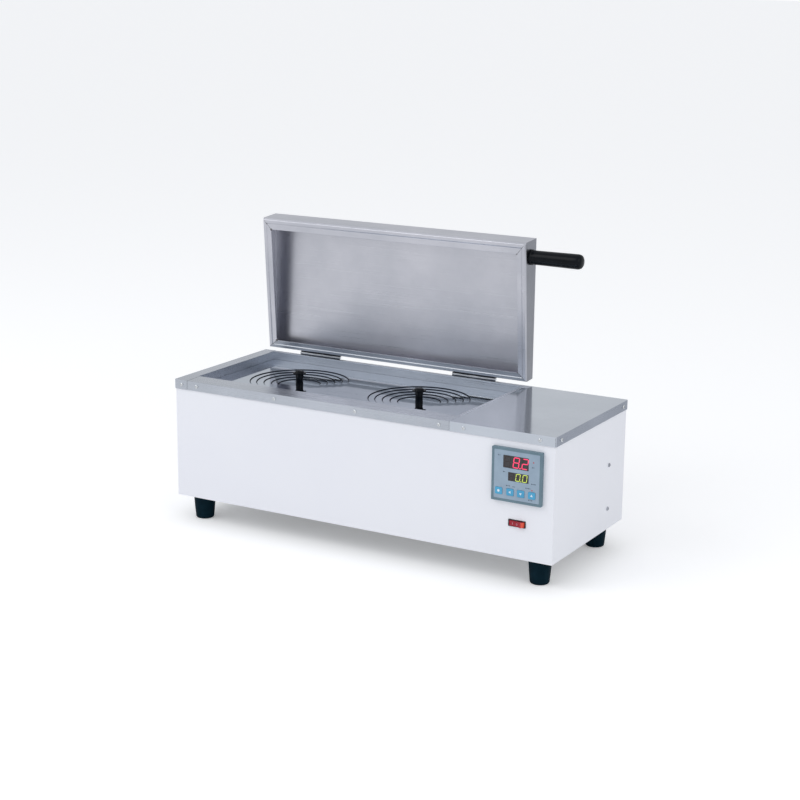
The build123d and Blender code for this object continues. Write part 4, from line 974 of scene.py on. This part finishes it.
@dataclass
class Readout:
    """One display window with three slanted seven-segment figures."""

    name: str
    text: str
    point_after: int
    left: float
    right: float
    top: float
    bottom: float
    figure_width: float
    figure_height: float
    pitch: float
    first_centre: float
    bar: float
    lit: LitFigure
    slant: float = 0.12

    def bars(self, index: int, wanted: tuple[Segment, ...]) -> list[bmesh.types.BMesh]:
        """The bars of one figure as thin pointed plates in the window's plane."""
        centre = self.first_centre + index * self.pitch
        middle = -(self.top + self.bottom) / 2
        half_w, half_h = (self.figure_width - self.bar) / 2, (self.figure_height - self.bar) / 2
        made = []
        for segment in wanted:
            ends = [Vector((centre + (2 * a - 1) * half_w + self.slant * (b - 1) * half_h,
                            middle + (b - 1) * half_h)) for a, b in segment.value]
            along = (ends[1] - ends[0]).normalized()
            across = Vector((-along.y, along.x)) * self.bar / 2
            a, b = ends[0] + along * self.bar * 0.14, ends[1] - along * self.bar * 0.14
            inner_a, inner_b = a + along * self.bar / 2, b - along * self.bar / 2
            outline = [a, inner_a - across, inner_b - across, b, inner_b + across, inner_a + across]
            made.append(MeshMaker.slab([(p.x, p.y) for p in outline], 0.0, 0.06))
        return made

    def point(self) -> bmesh.types.BMesh:
        """The decimal point, low at the right of its figure."""
        x = self.first_centre + (self.point_after + 0.5) * self.pitch - self.slant * self.figure_height / 2
        y = -(self.top + self.bottom) / 2 - self.figure_height / 2 + self.bar * 0.5
        radius = 0.75 * self.bar
        dot = [(x + radius * math.cos(k * math.pi / 8), y + radius * math.sin(k * math.pi / 8)) for k in range(16)]
        return MeshMaker.slab(dot, 0.0, 0.06)

    def build(self, place: Matrix) -> None:
        """Makes the lit and unlit bars of this window.

        Args:
            place: from the bezel's top left corner, x right and y up, to the row frame.
        """
        lit, dark = [self.point()], []
        for index, character in enumerate(self.text):
            lit += self.bars(index, LIT_BARS[character])
            dark += self.bars(index, tuple(bar for bar in Segment if bar not in LIT_BARS[character]))
        piece(f"{self.name}_lit_figures", MeshMaker.joined(lit), self.lit, "root", (), place)
        if dark:
            piece(f"{self.name}_unlit_bars", MeshMaker.joined(dark), UNLIT_FIGURE, "root", (),
                  place)


@dataclass
class Thermostat:
    """The panel thermostat: bezel, face, windows, figures, keys and generic marks."""

    left: float = 511.0
    top: float = 149.3
    face_y: float = -3.3
    key_y: float = -4.1
    key_drop: float = 58.5
    key_size: tuple[float, float] = (10.3, 9.4)
    keys: tuple[tuple[str, float, float], ...] = (
        ("set_key", 10.8, 1.3), ("shift_key", 27.2, 1.6), ("down_key", 42.5, 1.6), ("up_key", 58.3, 1.6))
    windows: tuple[Readout, ...] = (
        Readout("upper", " 82", 1, 16.4, 53.0, 9.6, 26.5, 9.0, 14.6, 12.6, 22.6, 1.25, RED_FIGURE),
        Readout("lower", " 00", 1, 23.8, 53.3, 31.7, 43.3, 6.6, 10.2, 9.7, 28.4, 0.9, GREEN_FIGURE),
    )
    marks: tuple[tuple[float, float, float], ...] = (
        (10.4, 10.7, 4.2), (59.4, 20.9, 3.4), (18.0, 32.2, 3.6), (60.4, 43.0, 7.0), (24.0, 50.2, 6.0),
        (32.5, 50.6, 4.6), (52.7, 49.6, 7.6), (56.3, 65.0, 6.4))
    lamps: tuple[tuple[float, float], ...] = ((59.8, 14.2), (58.4, 51.5))

    def plane(self, y: float) -> Matrix:
        """From the bezel's top left corner, with x right and y up, to the plane at this depth."""
        return CasingFrame.move(self.left, y, self.top) @ FACE_FRONT

    def build(self) -> None:
        """Makes every piece of the thermostat."""
        refined("controller_bezel", BEZEL_PLASTIC, "root", 0.35, 50)
        refined("controller_face", FACE_FILM, "root", 0.08, 50)
        dress(BLACK_PLASTIC, "controller_housing")
        dress(WINDOW, "display_module")
        panes = []
        for window in self.windows:
            width, height = window.right - window.left - 0.2, window.bottom - window.top - 0.2
            pane = MeshMaker.slab(rounded_outline(width, height, 0.5), -0.8, 0.0, 0.12)
            centre = ((window.left + window.right) / 2 * MM, -(window.top + window.bottom) / 2 * MM, 0)
            bmesh.ops.transform(pane, matrix=Matrix.Translation(centre), verts=pane.verts)
            panes.append(pane)
            window.build(self.plane(self.face_y - 0.005))
        piece("tinted_windows", MeshMaker.joined(panes), WINDOW, "root", ("display_windows",),
              self.plane(self.face_y))
        self.print_marks()
        for name, across, corner in self.keys:
            self.key(name, across, corner)

    def print_marks(self) -> None:
        """Small generic dashes and two lamp dots in place of any lettering."""
        dashes = []
        for x, down, length in self.marks:
            count = max(2, round(length / 1.9))
            for k in range(count):
                w, h = 1.15, 1.5 - 0.5 * (k % 2)
                bar = MeshMaker.slab(rounded_outline(w, h, 0.25, 2), 0.0, 0.03)
                shift = Matrix.Translation(((x - length / 2 + (k + 0.5) * length / count) * MM, -down * MM, 0))
                bmesh.ops.transform(bar, matrix=shift, verts=bar.verts)
                dashes.append(bar)
        piece("printed_dashes", MeshMaker.joined(dashes), PRINT_DARK, "root", (),
              self.plane(self.face_y - 0.002))
        dots = []
        for x, down in self.lamps:
            dot = MeshMaker.turned([(0, 0), (0.85, 0), (0.8, 0.12), (0.5, 0.2), (0, 0.24)], 24)
            bmesh.ops.transform(dot, matrix=Matrix.Translation((x * MM, -down * MM, 0)), verts=dot.verts)
            dots.append(dot)
        piece("lamp_dots", MeshMaker.joined(dots), LAMP_DOT, "root", (),
              self.plane(self.face_y - 0.002))

    def key(self, name: str, across: float, corner: float) -> None:
        """One domed key with a white arrow or dot, which rides its own body."""
        width, height = self.key_size
        cap = MeshMaker.slab(rounded_outline(width, height, corner, 6), -1.7, -0.03, 0.5)
        place = self.plane(self.key_y) @ Matrix.Translation((across * MM, -self.key_drop * MM, 0))
        piece(f"{name}_cap", cap, KEY_BLUE, name, (name,), place)
        symbols = {
            "set_key": [rounded_outline(3.4, 3.4, 1.69, 6)],
            "shift_key": [[(-1.9, 0.0), (1.1, -1.9), (1.1, 1.9)]],
            "down_key": [[(0.0, -1.9), (1.9, 1.2), (-1.9, 1.2)]],
            "up_key": [[(0.0, 1.9), (-1.9, -1.2), (1.9, -1.2)]],
        }[name]
        marks = MeshMaker.joined([MeshMaker.slab(outline, -0.04, 0.0) for outline in symbols])
        piece(f"{name}_mark", marks, PRINT_LIGHT, name, (), place)


@dataclass
class RockerSwitch:
    """The red rocker in its thin frame."""

    bar: tuple[float, float] = (0.8, 3.0)
    bar_at: float = 0.26
    ring_radii: tuple[float, float] = (0.8, 1.45)
    ring_at: float = 0.56
    proud: float = 0.02

    def build(self) -> None:
        """Makes the frame, the rocker with its right end painted brighter as a painted highlight, and its two pale
        marks.
        """
        refined("rocker_frame", BLACK_PLASTIC, "root", 0.15, 50)
        rocker = refined("rocker", ROCKER_RED, "rocker", 0.3, 20)
        # painted highlight: faces of the rocker turned to the right take a bright orange-red copy of its red
        paint_faces(rocker, ROCKER_PAINTED_HIGHLIGHT, lambda face: face.normal.x > 0.55)
        surface = BVHTree.FromPolygons([vert.co for vert in rocker.data.vertices],
                                       [face.vertices[:] for face in rocker.data.polygons])
        bar = MeshMaker.slab(rounded_outline(*self.bar, 0.3, 2), -0.1, self.proud)
        inner, outer = self.ring_radii
        ring = MeshMaker.turned([(inner, -0.1), (outer, -0.1), (outer, self.proud), (inner, self.proud)], 32)
        marks = []
        for mesh, share in ((bar, self.bar_at), (ring, self.ring_at)):
            bmesh.ops.transform(mesh, matrix=self.on_face(surface, share), verts=mesh.verts)
            marks.append(mesh)
        piece("rocker_marks", MeshMaker.joined(marks), ROCKER_MARK, "rocker")

    def on_face(self, surface: BVHTree, share: float) -> Matrix:
        """The place on the rocker's face at this share of its length from the left, with z out of the face."""
        low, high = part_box("rocker")
        start = Vector((low.x + share * (high.x - low.x), low.y - MM, (low.z + high.z) / 2))
        point, out, _, _ = surface.ray_cast(start, Vector((0, 1, 0)))
        along = Vector((0, 0, 1)).cross(out).normalized()
        turn = Matrix((along, out.cross(along), out)).transposed().to_4x4()
        return Matrix.Translation(point) @ turn


@dataclass
class RearFittings:
    """Mains inlet, fuse holder, drain tap and the electrics inside."""

    def build(self) -> None:
        """Refines or dresses each rear and inner fitting."""
        refined("mains_inlet", BLACK_PLASTIC, "root", 0.3, 50)
        refined("fuse_holder", BLACK_PLASTIC, "root", 0.4, 50)
        refined("drain_tap", BRASS, "root", 0.4, 50)
        refined("drain_tap_lever", LEVER_RED, "drain_tap_lever", 0.4, 50)
        dress(BRASS, "inlet_pins", "drain_pipe")
        dress(BLACK_PLASTIC, "relay")
        dress(IVORY, "terminal_block")


@dataclass
class Studio:
    """Floor, soft light and camera."""

    eye: tuple[float, float, float] = (1505.8, -1981.2, 767.0)
    forward: tuple[float, float, float] = (-0.4818, 0.8414, -0.2448)
    right: tuple[float, float, float] = (0.8666, 0.4989, 0.0091)
    lens: float = 79.97
    sky: Colour = (0.95, 0.97, 1.0)
    sky_strength: float = 0.72
    floor_lift: float = 0.22

    def build(self) -> None:
        """Makes the stage."""
        self.floor()
        self.lights()
        self.camera()

    def floor(self) -> None:
        """A wide pale floor."""
        bm = bmesh.new()
        bmesh.ops.create_grid(bm, x_segments=4, y_segments=4, size=30)
        data = bpy.data.meshes.new("studio_floor")
        bm.to_mesh(data)
        bm.free()
        shader = Shader("studio_floor_paint")
        shader.fix(Base_Color=(0.97, 0.97, 0.975, 1), Roughness=0.9, Emission_Color=(1, 1, 1, 1))
        tree = shader.tree
        path = tree.nodes.new("ShaderNodeLightPath")
        lift = tree.nodes.new("ShaderNodeMath")
        lift.operation = "MULTIPLY"
        lift.inputs[1].default_value = self.floor_lift
        tree.links.new(path.outputs["Is Camera Ray"], lift.inputs[0])
        tree.links.new(lift.outputs["Value"], shader.principled.inputs["Emission Strength"])
        data.materials.append(shader.material)
        floor = bpy.data.objects.new("studio_floor", data)
        bpy.context.scene.collection.objects.link(floor)

    def lights(self) -> None:
        """An even sky, white where the camera sees it and dimmer as light, and two broad soft lamps."""
        world = bpy.data.worlds.new("studio_sky")
        world.use_nodes = True
        tree = world.node_tree
        seen = tree.nodes["Background"]
        seen.inputs["Color"].default_value = (1, 1, 1, 1)
        seen.inputs["Strength"].default_value = 1.0
        glow = tree.nodes.new("ShaderNodeBackground")
        glow.inputs["Color"].default_value = (*self.sky, 1)
        glow.inputs["Strength"].default_value = self.sky_strength
        path = tree.nodes.new("ShaderNodeLightPath")
        mix = tree.nodes.new("ShaderNodeMixShader")
        tree.links.new(path.outputs["Is Camera Ray"], mix.inputs[0])
        tree.links.new(glow.outputs["Background"], mix.inputs[1])
        tree.links.new(seen.outputs["Background"], mix.inputs[2])
        tree.links.new(mix.outputs["Shader"], tree.nodes["World Output"].inputs["Surface"])
        bpy.context.scene.world = world
        for name, place, size, power in (("key_lamp", (-1.3, -1.5, 1.9), 1.6, 14),
                                         ("fill_lamp", (1.9, -0.9, 1.4), 1.4, 6)):
            lamp = bpy.data.lights.new(name, "AREA")
            lamp.size = size
            lamp.energy = power
            holder = bpy.data.objects.new(name, lamp)
            holder.location = place
            holder.rotation_euler = (Vector((0, 0, 0.15)) - Vector(place)).to_track_quat("-Z", "Y").to_euler()
            bpy.context.scene.collection.objects.link(holder)

    def camera(self) -> None:
        """The camera at the object's usual three-quarter view."""
        camera = bpy.data.cameras.new("camera")
        camera.lens = self.lens
        camera.sensor_width = 36.0
        holder = bpy.data.objects.new("camera", camera)
        forward, right = Vector(self.forward).normalized(), Vector(self.right).normalized()
        up = right.cross(forward)
        turn = Matrix((right, up, -forward)).transposed().to_4x4()
        holder.matrix_world = CasingFrame.move(*self.eye) @ turn
        bpy.context.scene.collection.objects.link(holder)
        bpy.context.scene.camera = holder


def main() -> None:
    """Builds every sub-assembly in order."""
    logging.basicConfig(level=logging.INFO, format="%(name)s %(message)s")
    bpy.context.scene.view_settings.view_transform = "Standard"
    for assembly in (Studio(), Casing(), Well(), Lid(), Thermostat(), RockerSwitch(), RearFittings()):
        assembly.build()


if __name__ == "__main__":
    main()
